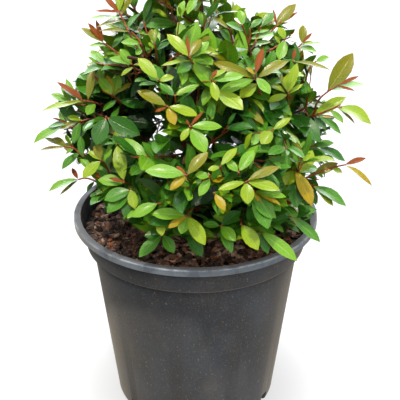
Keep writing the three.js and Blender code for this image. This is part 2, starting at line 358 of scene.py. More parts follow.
@dataclass
class Mass:
    """A spray of foliage: the limb that carries it, its heart and its shoot tips."""

    limb: Curve
    heart: Point
    tips: list[Point] = field(default_factory=list)


@dataclass
class Limbs:
    """The stem and its boughs, as centre lines with a radius."""

    stem_base: float = 7.5
    stem_tip: float = 2.6
    flare: float = 5.5
    flare_height: float = 11.0
    length: float = 184.0
    lean: Span = (5.0, 4.0)
    sway: Span = (-9.0, 6.0)
    bough_base: float = 3.4
    bough_tip: float = 2.1
    bough_bend: float = 0.35
    top_heart: float = 231.0
    tiers: tuple[Tier, ...] = (
        Tier(40, 14, 12, (56, 36), (100, 44)),
        Tier(85, 46, 16, (58, 96), (104, 114)),
        Tier(40, 98, 16, (38, 160), (70, 186)),
    )
    stem: Curve = field(init=False)
    masses: list[Mass] = field(init=False)

    def __post_init__(self) -> None:
        """Draws the stem and the boughs."""
        foot = SOIL_TOP + SEAT_GAP
        self.stem = Curve(
            (
                np.array((0, 0, foot)),
                np.array((0, 0, foot + self.length / 3)),
                np.array((*self.sway, foot + self.length * 2 / 3)),
                np.array((*self.lean, foot + self.length)),
            )
        )
        self.masses = [mass for tier in self.tiers for mass in self._tier_masses(tier)]
        self.masses.append(Mass(self.stem, UP * (SOIL_TOP + self.top_heart)))

    @property
    def boughs(self) -> list[Curve]:
        """The boughs' centre lines."""
        return [mass.limb for mass in self.masses if mass.limb is not self.stem]

    @staticmethod
    def _ring_point(degrees: float, place: Span) -> Point:
        """A point at a radius and a height above the potting mix."""
        turn = math.radians(degrees)
        return np.array((place[0] * math.cos(turn), place[0] * math.sin(turn), SOIL_TOP + place[1]))

    def _tier_masses(self, tier: Tier) -> list[Mass]:
        """The boughs of one tier with the hearts of what they carry.

        Args:
            tier: The tier.

        Returns:
            One mass for each bough.
        """
        masses = []
        for i in range(tier.count):
            degrees = tier.turn + 360 / tier.count * i
            fork = tier.fork + tier.fork_step * (i % (tier.count // 2))
            start = self.stem.point(fork / self.length)
            end = self._ring_point(degrees, tier.tip)
            bend = (start + end) / 2
            bend[2] = mix(start[2], end[2], self.bough_bend)
            masses.append(Mass(Curve((start, bend, end)), self._ring_point(degrees, tier.heart)))
        return masses

    def stem_radius(self, share: float) -> float:
        """The stem's radius a share of the way up, with its flare at the foot."""
        flare = self.flare * math.exp(-share * self.length / self.flare_height)
        return mix(self.stem_base, self.stem_tip, share) + flare

    def bough_radius(self, share: float) -> float:
        """A bough's radius a share of the way out."""
        return mix(self.bough_base, self.bough_tip, share)

    def nearest_mass(self, point: Point) -> Mass:
        """The mass whose heart is nearest to a point."""
        return min(self.masses, key=lambda mass: float(np.linalg.norm(mass.heart - point)))

    def deal_tips(self, tips: Sequence[Point]) -> None:
        """Gives each shoot tip to the mass whose heart is nearest."""
        for tip in tips:
            self.nearest_mass(tip).tips.append(tip)


class LeafKind(Enum):
    """The colour that a leaf has by its age and its light."""

    DEEP = "deep"
    SHADE = "shade"
    MID = "mid"
    FRESH = "fresh"
    LIME = "lime"
    OLIVE = "olive"
    AMBER = "amber"
    RED = "red"


DEEP, SHADE, MID, FRESH, LIME, OLIVE, AMBER, RED = LeafKind


class Flush(Enum):
    """How a shoot is growing, which sets the colour of its youngest leaves."""

    RED = "red"
    LIME = "lime"
    REST = "rest"


KIND_SHARES: dict[Flush, tuple[tuple[tuple[LeafKind, float], ...], ...]] = {
    Flush.RED: (
        ((RED, 0.85), (AMBER, 0.15)),
        ((AMBER, 0.1), (OLIVE, 0.3), (LIME, 0.6)),
        ((OLIVE, 0.05), (LIME, 0.25), (FRESH, 0.4), (MID, 0.3)),
    ),
    Flush.LIME: (
        ((LIME, 0.55), (OLIVE, 0.15), (RED, 0.3)),
        ((LIME, 0.48), (OLIVE, 0.08), (FRESH, 0.44)),
        ((LIME, 0.12), (FRESH, 0.46), (MID, 0.42)),
    ),
    Flush.REST: (
        ((FRESH, 0.5), (LIME, 0.3), (RED, 0.2)),
        ((LIME, 0.1), (FRESH, 0.42), (MID, 0.48)),
        ((FRESH, 0.12), (MID, 0.55), (DEEP, 0.33)),
    ),
}
OLD_SHARES = ((FRESH, 0.07), (MID, 0.43), (DEEP, 0.37), (SHADE, 0.13))
# Paler kinds for older leaves high in the crown, painted light for its brighter top.
HIGH_SHARES = ((LIME, 0.28), (FRESH, 0.46), (MID, 0.26))
QUIET_SHARES = ((FRESH, 0.25), (MID, 0.47), (DEEP, 0.28))
# Darker kinds for leaves deep in the crown or seen in its hollows, as painted shade.
SHADED_INNER_SHARES = ((MID, 0.1), (DEEP, 0.42), (SHADE, 0.48))
FLUSH_SHARES = ((Flush.RED, 0.4), (Flush.LIME, 0.3), (Flush.REST, 0.3))
# More lime flushes on shoots high in the crown: young growth, and partly painted light for its brighter top.
HIGH_FLUSH_SHARES = ((Flush.RED, 0.36), (Flush.LIME, 0.58), (Flush.REST, 0.06))


@dataclass(frozen=True)
class Leaf:
    """One leaf: where it is rooted, how it lies, its size and its colour."""

    root: Point
    along: Point
    face: Point
    length: float
    width: float
    curl: float
    fold: float
    kind: LeafKind

    def point(self, share: float, aside: float = 0.0) -> Point:
        """Finds a point on the blade.

        Args:
            share: How far along the blade, from its root to its tip.
            aside: How far to the side, in half widths.

        Returns:
            The point, with the blade's curl taken in.
        """
        bend = max(self.curl, LEAST_CURL)
        turn = bend * share
        centre = self.root + self.along * (self.length * math.sin(turn) / bend)
        centre = centre - self.face * (self.length * (1 - math.cos(turn)) / bend)
        return centre + np.cross(self.along, self.face) * (aside * self.length * self.width / 2)


@dataclass(frozen=True)
class PhotoView:
    """Where the picture is taken from, and where its points lie on the plant; lengths are millimetres."""

    elevation: float = 26.87
    distance: float = 1000.0
    aim_height: float = 215.0
    aim_pixel: Pixel = (195.5, 209.4)
    focal_pixels: float = 967.7
    frame_pixels: float = 400.0
    left_edge: tuple[Pixel, ...] = (
        (112, -90), (112, 0), (104, 22), (88, 44), (88, 60), (76, 78), (58, 92), (46, 106), (48, 116),
        (60, 126), (62, 148), (70, 160), (82, 170), (84, 200), (84, 300),
    )
    right_edge: tuple[Pixel, ...] = (
        (224, -90), (234, -12), (240, 2), (252, 10), (284, 14), (290, 24), (298, 32), (308, 40), (318, 50),
        (320, 58), (310, 66), (304, 74), (308, 84), (322, 92), (328, 104), (338, 118), (332, 132),
        (322, 140), (332, 150), (338, 160), (326, 174), (320, 188), (322, 212), (318, 228), (322, 250),
        (322, 300),
    )
    sky_gaps: tuple[Triple, ...] = ((137, 3, 9),)
    hollows: tuple[Triple, ...] = (
        (144, 124, 17), (140, 110, 12), (227, 138, 13), (212, 148, 9), (164, 54, 10), (134, 99, 9),
        (196, 97, 8), (181, 150, 9), (155, 182, 9), (206, 207, 10), (207, 232, 5), (242, 210, 8),
        (300, 208, 9),
    )
    hollow_reach: float = 885.0
    quiet: tuple[Triple, ...] = (
        (132, 150, 22), (165, 155, 16), (165, 195, 18), (268, 126, 32), (305, 140, 25), (210, 38, 14),
        (206, 66, 8), (150, 20, 16),
    )
    low_edge: tuple[Pixel, ...] = (
        (84, 206), (120, 222), (150, 236), (200, 242), (245, 242), (300, 236), (322, 230),
    )
    search: Triple = (0.7, 1.1, 0.003)

    @property
    def eye(self) -> Point:
        """The camera's place."""
        return UP * self.aim_height - self._ahead * self.distance

    @property
    def _ahead(self) -> Point:
        """The camera's direction."""
        angle = math.radians(self.elevation)
        return np.array((0.0, math.cos(angle), -math.sin(angle)))

    @property
    def _upward(self) -> Point:
        """The picture's upward direction."""
        _, level, fall = self._ahead
        return np.array((0.0, -fall, level))

    def _ray(self, pixel: Pixel) -> Point:
        """Finds the direction in which a pixel is seen.

        Args:
            pixel: The pixel.

        Returns:
            The direction, one long straight ahead.
        """
        aside = (pixel[0] - self.aim_pixel[0]) / self.focal_pixels
        rise = (self.aim_pixel[1] - pixel[1]) / self.focal_pixels
        return self._ahead + self._upward * rise + np.array((aside, 0.0, 0.0))

    def against_plant(self, points: Point) -> bool:
        """Whether points are all seen within the crown's outline, where the sky doesn't show.

        Args:
            points: The points, one to a row.

        Returns:
            True where none shows against the sky or the potting mix.
        """
        (across, down), _ = self.pixels(points)
        left, right = (np.array(edge) for edge in (self.left_edge, self.right_edge))
        low = np.interp(down, left[:, 1], left[:, 0])
        high = np.interp(down, right[:, 1], right[:, 0])
        hem = np.array(self.low_edge)
        held = (low < across) & (across < high) & (down < np.interp(across, hem[:, 0], hem[:, 1]))
        return bool(np.all(held)) and not self._within(self.sky_gaps, across, down)

    def in_hollow(self, points: Point) -> bool:
        """Whether a point is in the crown's front, where the picture looks into its dark inside."""
        (across, down), reach = self.pixels(points)
        return float(reach.min()) < self.hollow_reach and self._within(self.hollows, across, down)

    def seen_in(self, rounds: Sequence[Triple], point: Point) -> bool:
        """Whether a point is seen in one of some rounds of the picture."""
        (across, down), _ = self.pixels(point[None])
        return self._within(rounds, across, down)

    @staticmethod
    def _within(rounds: Sequence[Triple], across: Point, down: Point) -> bool:
        """Whether any pixel is in one of some rounds, each with its middle and its radius."""
        return any(bool(np.any(np.hypot(across - x, down - y) < radius)) for x, y, radius in rounds)

    def pixels(self, points: Point) -> tuple[tuple[Point, Point], Point]:
        """Finds where points are seen.

        Args:
            points: The points, one to a row.

        Returns:
            Their pixels across and down, and how far from the camera they are.
        """
        away = points - self.eye
        reach = away @ self._ahead
        rise = away @ self._upward
        scale = self.focal_pixels / reach
        return (self.aim_pixel[0] + away[:, 0] * scale, self.aim_pixel[1] - rise * scale), reach

    def point(self, pixel: Pixel, depth: float | None, crown: Crown) -> Point:
        """Finds the point of the plant that is seen at a pixel.

        Args:
            pixel: The pixel, from the picture's upper left corner.
            depth: How far back the point is, or None for the front of the crown.
            crown: The crown.

        Returns:
            The point.
        """
        ray = self._ray(pixel)
        if depth is None:
            for reach in np.arange(*self.search) * self.distance:
                if crown.inside(self.eye + ray * reach):
                    return self.eye + ray * reach
        return self.eye + ray * ((depth or 0.0) - self.eye[1]) / ray[1]


@dataclass(frozen=True)
class PlacedLeaf:
    """A leaf that stands out in the picture: the pixels of its root and tip, and how it lies."""

    root: Pixel
    tip: Pixel
    kind: LeafKind
    width: float = 0.36
    curl: float = 0.3
    tilt: float = 0.5
    ahead: float = 0.0
    fold: float = 0.2
    slope: float = 0.6

    @classmethod
    def from_row(cls, row: tuple) -> "PlacedLeaf":
        """Reads a leaf from its row in the table."""
        return cls(row[:2], row[2:4], *row[4:])

    def nearer(self) -> float:
        """How much nearer to the camera its tip is than its root, as a leaf that hangs also leans out."""
        return self.ahead + self.slope * (self.tip[1] - self.root[1])

    def lay(self, root: Point, end: Point, away: Point) -> Leaf:
        """Lays the leaf from its root to its tip, facing between the sky and the picture.

        Args:
            root: Where it is rooted.
            end: Where its tip is.
            away: The direction out of the crown.

        Returns:
            The leaf.
        """
        along = unit(end - root)
        sky = UP * (1 - self.tilt) + TO_PICTURE * self.tilt + away * OUTWARD_LEAN
        face = unit(sky - along * np.dot(sky, along))
        half = max(self.curl, LEAST_CURL) / 2
        length = float(np.linalg.norm(end - root)) * half / math.sin(half)
        start = along * math.cos(half) + face * math.sin(half)
        top = face * math.cos(half) - along * math.sin(half)
        return Leaf(root, start, top, length, self.width, self.curl, self.fold, self.kind)


@dataclass(frozen=True)
class PlacedShoot:
    """A shoot that stands out in the picture: the pixels of its tip and bend, its depth and its leaves."""

    tip: Pixel
    bend: Pixel
    depth: float | None
    leaves: tuple[PlacedLeaf, ...]

    @classmethod
    def from_row(cls, row: tuple) -> "PlacedShoot":
        """Reads a shoot and its leaves from its row in the table."""
        return cls(row[:2], row[2:4], row[4], tuple(PlacedLeaf.from_row(leaf) for leaf in row[5:]))


# Each shoot's tip, bend and depth, and its leaves: root, tip, colour, width, curl, tilt and lead
PLACED_ROWS = (
    # Right side, from the top down
    (276, 27, 262, 40, 0, (275, 28, 296, 4, OLIVE, 0.34, 0.3, 0.6), (278, 25, 298, 12, RED, 0.17, 0.1),
     (276, 26, 273, 9, RED, 0.16, 0.1)),
    (262, 28, 256, 40, -20, (262, 28, 274, 13, MID, 0.5)),
    (301, 44, 290, 54, -5, (301, 42, 303, 25, OLIVE, 0.45, 0.3, 0.6), (302, 45, 313, 42, LIME, 0.4),
     (304, 40, 312, 33, RED, 0.26, 0.1), (300, 48, 322, 43, FRESH, 0.2, 0.4, 0.2),
     (300, 52, 317, 52, FRESH, 0.5)),
    (284, 39, 276, 52, -25, (285, 40, 279, 60, FRESH, 0.5), (281, 46, 275, 36, LIME, 0.45),
     (284, 38, 278, 27, LIME, 0.6)),
    (291, 62, 282, 76, -30, (292, 62, 330, 70, OLIVE, 0.16, 0.5), (290, 61, 295, 49, RED, 0.3, 0.1)),
    (315, 62, 302, 70, -10, (315, 62, 329, 57, FRESH, 0.55)),
    (338, 85, 312, 98, -10, (325, 91, 353, 53, OLIVE, 0.36, 0.25, 1.3), (338, 85, 359, 76, RED, 0.2, 0.1),
     (337, 86, 355, 91, RED, 0.22, 0.2), (331, 93, 364, 84, FRESH, 0.3, 0.3, 0.3, -12)),
    (340, 105, 312, 118, -25, (309, 117, 346, 97, LIME, 0.3, 0.35, 0.9),
     (334, 106, 371, 124, LIME, 0.42, 0.9, 0.45), (336, 108, 355, 124, AMBER, 0.15, 0.5),
     (328, 110, 343, 123, FRESH, 0.45, 0.4, 0.4), (338, 106, 346, 110, RED, 0.3, 0.1),
     (308, 120, 296, 106, RED, 0.1, 0.3), (310, 120, 317, 109, RED, 0.25, 0.1),
     (311, 121, 337, 118, AMBER, 0.16), (312, 122, 326, 130, DEEP, 0.42), (318, 120, 341, 134, MID, 0.3)),
    (318, 146, 300, 140, -30, (308, 139, 334, 143, MID, 0.42), (318, 150, 345, 161, DEEP, 0.36)),
    (345, 165, 300, 173, -30, (310, 170, 338, 163, OLIVE, 0.34, 0.2, 0.8),
     (332, 168, 342, 173, LIME, 0.6, 0.4, 0.5), (345, 164, 366, 158, RED, 0.28, 0.15, 0.45),
     (344, 166, 372, 186, AMBER, 0.22, 0.6, 0.35), (302, 170, 320, 180, RED, 0.17, 0.1),
     (306, 172, 317, 178, DEEP, 0.6), (318, 171, 322, 178, MID, 0.6)),
    (296, 170, 284, 172, -95, (296, 171, 312, 206, AMBER, 0.36, 0.35, 0.5),
     (283, 172, 285, 185, LIME, 0.75), (288, 176, 302, 198, AMBER, 0.1), (292, 176, 296, 208, DEEP, 0.42)),
    (313, 186, 298, 186, -35, (311, 185, 346, 206, MID, 0.34, 0.5, 0.35),
     (314, 188, 333, 206, LIME, 0.36, 0.4, 0.4), (310, 188, 316, 205, DEEP, 0.4)),
    (291, 217, 276, 212, -95, (291, 217, 320, 242, MID, 0.3, 0.35), (288, 216, 303, 226, OLIVE, 0.4),
     (286, 217, 271, 222, DEEP, 0.5)),
    # Left side, from the top down
    (119, 14, 128, 28, 0, (118, 13, 104, -3, RED, 0.28, 0.2), (117, 14, 95, 11, RED, 0.2, 0.2),
     (121, 18, 88, 19, FRESH, 0.22, 0.3, 0.2), (124, 21, 97, 27, OLIVE, 0.24, 0.3, 0.3),
     (120, 10, 120, -16, LIME, 0.32, 0.2, 0.6), (124, 14, 136, -14, OLIVE, 0.3, 0.2, 0.6)),
    (104, 44, 114, 54, -5, (104, 43, 81, 28, OLIVE, 0.3, 0.3, 0.45), (100, 38, 88, 23, RED, 0.22, 0.1),
     (98, 36, 96, 20, RED, 0.2, 0.1), (106, 47, 89, 46, FRESH, 0.4, 0.3, 0.4),
     (110, 51, 123, 36, MID, 0.42)),
    (131, 33, 146, 42, -10, (131, 33, 99, 31, OLIVE, 0.2, 0.4, 0.3), (139, 39, 124, 35, FRESH, 0.4)),
    (144, 22, 150, 38, 0, (144, 22, 151, -3, MID, 0.28), (147, 24, 153, 6, DEEP, 0.26)),
    (140, 44, 146, 58, -30, (140, 44, 121, 42, FRESH, 0.5), (142, 52, 136, 55, FRESH, 0.8)),
    (131, 64, 146, 76, -35, (138, 62, 120, 49, FRESH, 0.46, 0.3, 0.9), (135, 66, 121, 62, RED, 0.12, 0.1),
     (131, 64, 130, 57, RED, 0.16, 0.1), (131, 65, 109, 58, FRESH, 0.38), (136, 68, 121, 76, LIME, 0.34)),
    (155, 44, 157, 64, -45, (156, 43, 155, 29, FRESH, 0.32), (152, 43, 151, 29, OLIVE, 0.5),
     (158, 54, 170, 42, DEEP, 0.42), (155, 49, 148, 43, LIME, 0.6)),
    (83, 99, 105, 104, 0, (84, 96, 57, 82, RED, 0.2, 0.2, 0.4), (83, 99, 71, 89, RED, 0.34, 0.1),
     (88, 100, 94, 67, OLIVE, 0.25, 0.2, 0.6), (88, 101, 58, 106, OLIVE, 0.2, 0.3),
     (84, 102, 42, 111, LIME, 0.24, 0.2, 0.25), (80, 97, 62, 86, FRESH, 0.3, 0.3, 0.3, -10),
     (96, 104, 87, 115, FRESH, 0.75)),
    (70, 101, 90, 104, 15, (70, 101, 51, 94, FRESH, 0.42), (72, 100, 62, 83, FRESH, 0.33),
     (78, 101, 66, 79, FRESH, 0.24)),
    (113, 96, 126, 103, -25, (113, 95, 107, 75, AMBER, 0.36, 0.2, 0.6),
     (116, 93, 133, 83, OLIVE, 0.3, 0.3, 0.4), (112, 94, 101, 88, RED, 0.3, 0.1),
     (121, 103, 103, 111, MID, 0.4), (117, 97, 119, 75, FRESH, 0.5), (112, 95, 99, 77, FRESH, 0.42),
     (110, 95, 93, 75, RED, 0.13, 0.1), (127, 104, 145, 108, DEEP, 0.42)),
    (68, 124, 90, 116, 0, (66, 124, 34, 143, FRESH, 0.36, 0.6, 0.35),
     (72, 121, 48, 127, MID, 0.35, 0.3, 0.3), (78, 118, 60, 129, OLIVE, 0.35),
     (80, 121, 74, 143, MID, 0.42), (80, 116, 67, 117, LIME, 0.5), (68, 119, 52, 118, RED, 0.15)),
    (66, 147, 86, 142, -5, (66, 147, 40, 150, AMBER, 0.2, 0.2, 0.3),
     (64, 146, 45, 138, OLIVE, 0.28, 0.2, 0.3), (66, 146, 53, 138, OLIVE, 0.5, 0.3, 0.4),
     (86, 145, 62, 169, MID, 0.4, 0.4), (76, 144, 66, 154, FRESH, 0.42)),
    (100, 160, 113, 168, -85, (98, 161, 83, 178, LIME, 0.5, 0.4), (99, 158, 88, 151, LIME, 0.4, 0.3, 0.4),
     (103, 158, 101, 148, RED, 0.17, 0.1), (100, 157, 96, 143, OLIVE, 0.5),
     (111, 162, 112, 149, FRESH, 0.4)),
    (79, 180, 98, 176, -18, (79, 179, 49, 191, FRESH, 0.36, 0.55, 0.25),
     (80, 181, 60, 195, OLIVE, 0.2, 0.2, 0.3), (76, 178, 72, 168, RED, 0.36, 0.2, 0.4),
     (97, 177, 87, 192, DEEP, 0.38)),
    (124, 181, 138, 188, -100, (123, 179, 117, 146, LIME, 0.36), (122, 181, 109, 178, RED, 0.25, 0.2),
     (125, 191, 98, 180, FRESH, 0.46)),
    (131, 187, 144, 196, -108, (131, 186, 135, 209, LIME, 0.5), (128, 195, 104, 200, MID, 0.5),
     (129, 197, 107, 213, MID, 0.42), (128, 195, 112, 200, AMBER, 0.1), (134, 197, 124, 217, DEEP, 0.42)),
    # Front of the crown, from the top down
    (172, 8, 168, 26, 0, (172, 10, 156, -4, AMBER, 0.5), (177, 30, 142, 25, MID, 0.34, 0.3, 0.9)),
    (190, 57, 196, 74, None, (188, 55, 167, 34, LIME, 0.36, 0.3, 0.6), (189, 56, 176, 41, RED, 0.12, 0.1),
     (190, 54, 187, 36, RED, 0.16, 0.1), (190, 57, 201, 39, OLIVE, 0.42), (198, 62, 209, 42, FRESH, 0.45),
     (195, 73, 161, 66, LIME, 0.2, 0.4, 0.3), (199, 69, 187, 62, LIME, 0.5)),
    (206, 20, 197, 40, -15, (195, 28, 201, 11, FRESH, 0.5), (207, 20, 219, 0, MID, 0.3)),
    (229, 29, 236, 46, -25, (228, 28, 212, 17, OLIVE, 0.3), (235, 44, 220, 29, MID, 0.5)),
    (250, 30, 252, 48, -20, (248, 34, 269, 30, FRESH, 0.26), (252, 46, 271, 42, FRESH, 0.3),
     (250, 26, 262, 19, MID, 0.5), (256, 40, 274, 33, FRESH, 0.42)),
    (176, 96, 172, 110, None, (169, 99, 159, 83, MID, 0.38), (175, 96, 187, 88, LIME, 0.36),
     (180, 96, 199, 85, FRESH, 0.28)),
    (242, 27, 250, 44, None, (248, 43, 226, 23, MID, 0.45), (242, 27, 240, 10, FRESH, 0.5)),
    (158, 80, 168, 95, None, (158, 80, 138, 58, LIME, 0.4, 0.35, 0.6),
     (160, 86, 174, 77, LIME, 0.6, 0.4, 0.5)),
    (253, 76, 262, 100, None, (253, 77, 263, 48, RED, 0.24, 0.2, 0.2),
     (252, 76, 246, 67, AMBER, 0.4, 0.2), (254, 86, 212, 62, OLIVE, 0.22, 0.8, 1.3),
     (256, 86, 288, 61, OLIVE, 0.32, 0.3, 0.4), (253, 89, 218, 93, FRESH, 0.28, 0.3, 0.85),
     (259, 98, 240, 98, LIME, 0.55), (258, 82, 270, 94, FRESH, 0.5)),
    (288, 94, 284, 108, None, (288, 95, 280, 75, OLIVE, 0.3), (287, 97, 268, 102, LIME, 0.4),
     (287, 98, 303, 84, LIME, 0.25), (293, 88, 288, 74, LIME, 0.6), (288, 82, 297, 63, LIME, 0.3)),
    (211, 80, 232, 108, None, (211, 85, 217, 101, LIME, 0.45), (226, 103, 243, 110, LIME, 0.5),
     (213, 83, 244, 76, FRESH, 0.36), (211, 80, 227, 69, LIME, 0.3), (211, 79, 217, 70, RED, 0.36)),
    (167, 107, 172, 120, None, (166, 107, 137, 91, OLIVE, 0.36), (166, 109, 155, 112, RED, 0.3, 0.1),
     (170, 110, 175, 125, AMBER, 0.5, 0.3, 0.6), (170, 108, 198, 116, LIME, 0.36, 0.4)),
    (106, 117, 112, 126, -70, (106, 117, 140, 135, DEEP, 0.45, 0.4, 1.4),
     (100, 118, 96, 145, DEEP, 0.56, 0.35, 1.4)),
    (190, 128, 196, 140, None, (194, 127, 222, 127, FRESH, 0.36), (192, 131, 206, 153, FRESH, 0.5),
     (188, 131, 181, 141, LIME, 0.45), (193, 126, 203, 112, RED, 0.2, 0.1),
     (189, 128, 186, 119, RED, 0.25, 0.1)),
    (272, 131, 282, 122, None, (272, 132, 261, 144, LIME, 0.75), (274, 130, 291, 118, LIME, 0.34)),
    (221, 167, 222, 180, None, (221, 167, 237, 148, LIME, 0.34), (220, 168, 208, 170, LIME, 0.5)),
    (237, 174, 234, 186, None, (237, 173, 254, 150, FRESH, 0.42), (235, 175, 226, 160, FRESH, 0.5)),
    (186, 176, 190, 186, None, (176, 175, 145, 171, FRESH, 0.38, 0.3), (187, 178, 170, 190, AMBER, 0.4),
     (184, 176, 176, 166, RED, 0.3, 0.1), (188, 176, 208, 152, OLIVE, 0.38, 0.3, 0.4)),
    (209, 176, 214, 194, None, (211, 188, 208, 172, AMBER, 0.26), (213, 192, 199, 196, FRESH, 0.45),
     (210, 184, 195, 175, FRESH, 0.6)),
    (246, 182, 238, 190, None, (246, 181, 280, 167, OLIVE, 0.28, 0.4, 0.35),
     (248, 184, 280, 190, LIME, 0.34, 0.4), (247, 183, 265, 184, RED, 0.2, 0.2),
     (245, 184, 248, 204, LIME, 0.6, 0.3, 0.6), (243, 183, 218, 190, LIME, 0.3)),
    (254, 192, 246, 200, -135, (256, 192, 286, 197, FRESH, 0.3), (255, 193, 281, 205, AMBER, 0.18),
     (253, 194, 261, 205, AMBER, 0.3), (250, 197, 268, 229, MID, 0.45, 0.4),
     (253, 195, 272, 219, MID, 0.5)),
    (188, 217, 190, 200, -138, (189, 218, 205, 245, LIME, 0.4, 0.5, 0.75),
     (187, 215, 151, 214, FRESH, 0.36, 0.4), (187, 218, 168, 228, AMBER, 0.36),
     (187, 219, 181, 234, FRESH, 0.6)),
    (160, 204, 184, 206, -132, (158, 203, 132, 217, FRESH, 0.42, 0.4)),
    (161, 219, 174, 214, -130, (160, 219, 162, 236, LIME, 0.5)),
    (241, 224, 237, 212, -134, (241, 224, 258, 250, LIME, 0.48, 0.4, 0.7)),
    (262, 232, 246, 222, -132, (262, 232, 297, 261, FRESH, 0.3, 0.4), (260, 233, 268, 254, DEEP, 0.4)),
    (221, 226, 232, 216, -130, (219, 225, 236, 241, FRESH, 0.5, 0.5, 0.95, 5),
     (220, 228, 232, 253, MID, 0.36), (225, 220, 241, 211, DEEP, 0.45), (220, 225, 203, 224, MID, 0.45)),
    (163, 234, 176, 224, -112, (162, 231, 144, 236, DEEP, 0.5), (161, 236, 139, 257, MID, 0.38),
     (168, 232, 174, 253, MID, 0.5)),
    (186, 230, 192, 220, -112, (184, 232, 202, 257, DEEP, 0.42)),
    (214, 193, 216, 206, None, (214, 193, 225, 211, AMBER, 0.42)),
)
PLACED_SHOOTS = tuple(PlacedShoot.from_row(row) for row in PLACED_ROWS)


@dataclass(frozen=True)
class Twig:
    """A thin round shoot: its path and its radius at both ends."""

    path: Point
    thick: float
    thin: float
    young: bool


@dataclass(frozen=True)
class ShootPlan:
    """How the leaves of a shoot are set, pair by pair from its tip back."""

    first_space: float
    spaces: tuple[float, ...]
    lengths: tuple[Span, ...]
    spreads: tuple[Span, ...]
    widths: tuple[float, ...]
    side_orders: Face = ()
    side_share: float = 0.0
    space_play: Span = (0.8, 1.2)
    used_share: float = 0.92

    def places(self, stream: SeededStream, length: float) -> list[float]:
        """How far back from the tip each pair of leaves is.

        Args:
            stream: Where the play in the spaces comes from.
            length: The shoot's length, which no pair lies beyond.

        Returns:
            The distances, from the youngest pair on.
        """
        places = [self.first_space]
        for space in self.spaces:
            places.append(places[-1] + space * stream.between(*self.space_play))
        return [place for place in places if place < length * self.used_share]


MAIN_PLAN = ShootPlan(
    first_space=1.5,
    spaces=(7, 11, 13, 14, 15, 15, 16),
    lengths=((11, 18), (23, 33), (32, 42), (38, 49), (39, 50), (36, 47), (32, 42), (28, 38)),
    spreads=((12, 26), (30, 46), (44, 60), (52, 70), (58, 76), (62, 80), (62, 80), (62, 80)),
    widths=(0.26, 0.34, 0.4, 0.43, 0.44, 0.44, 0.44, 0.44),
    side_orders=(2, 3, 4, 5),
    side_share=0.42,
)
SIDE_PLAN = ShootPlan(
    first_space=1.2,
    spaces=(6, 10),
    lengths=((10, 16), (21, 29), (29, 39)),
    spreads=((14, 28), (36, 50), (50, 66)),
    widths=(0.27, 0.37, 0.43),
)


@dataclass(frozen=True)
class Shoot:
    """How one shoot grows: its plan, its flush and where its play comes from."""

    plan: ShootPlan
    flush: Flush
    stream: SeededStream


@dataclass(frozen=True)
class Axil:
    """A place on a shoot: where it is, the shoot's direction there and the side that is grown to."""

    root: Point
    tangent: Point
    outward: Point

    def heading(self, angle: float, lift: float) -> Point:
        """The direction that leaves the shoot by an angle, lifted a little."""
        return unit(self.tangent * math.cos(angle) + self.outward * math.sin(angle) + UP * lift)


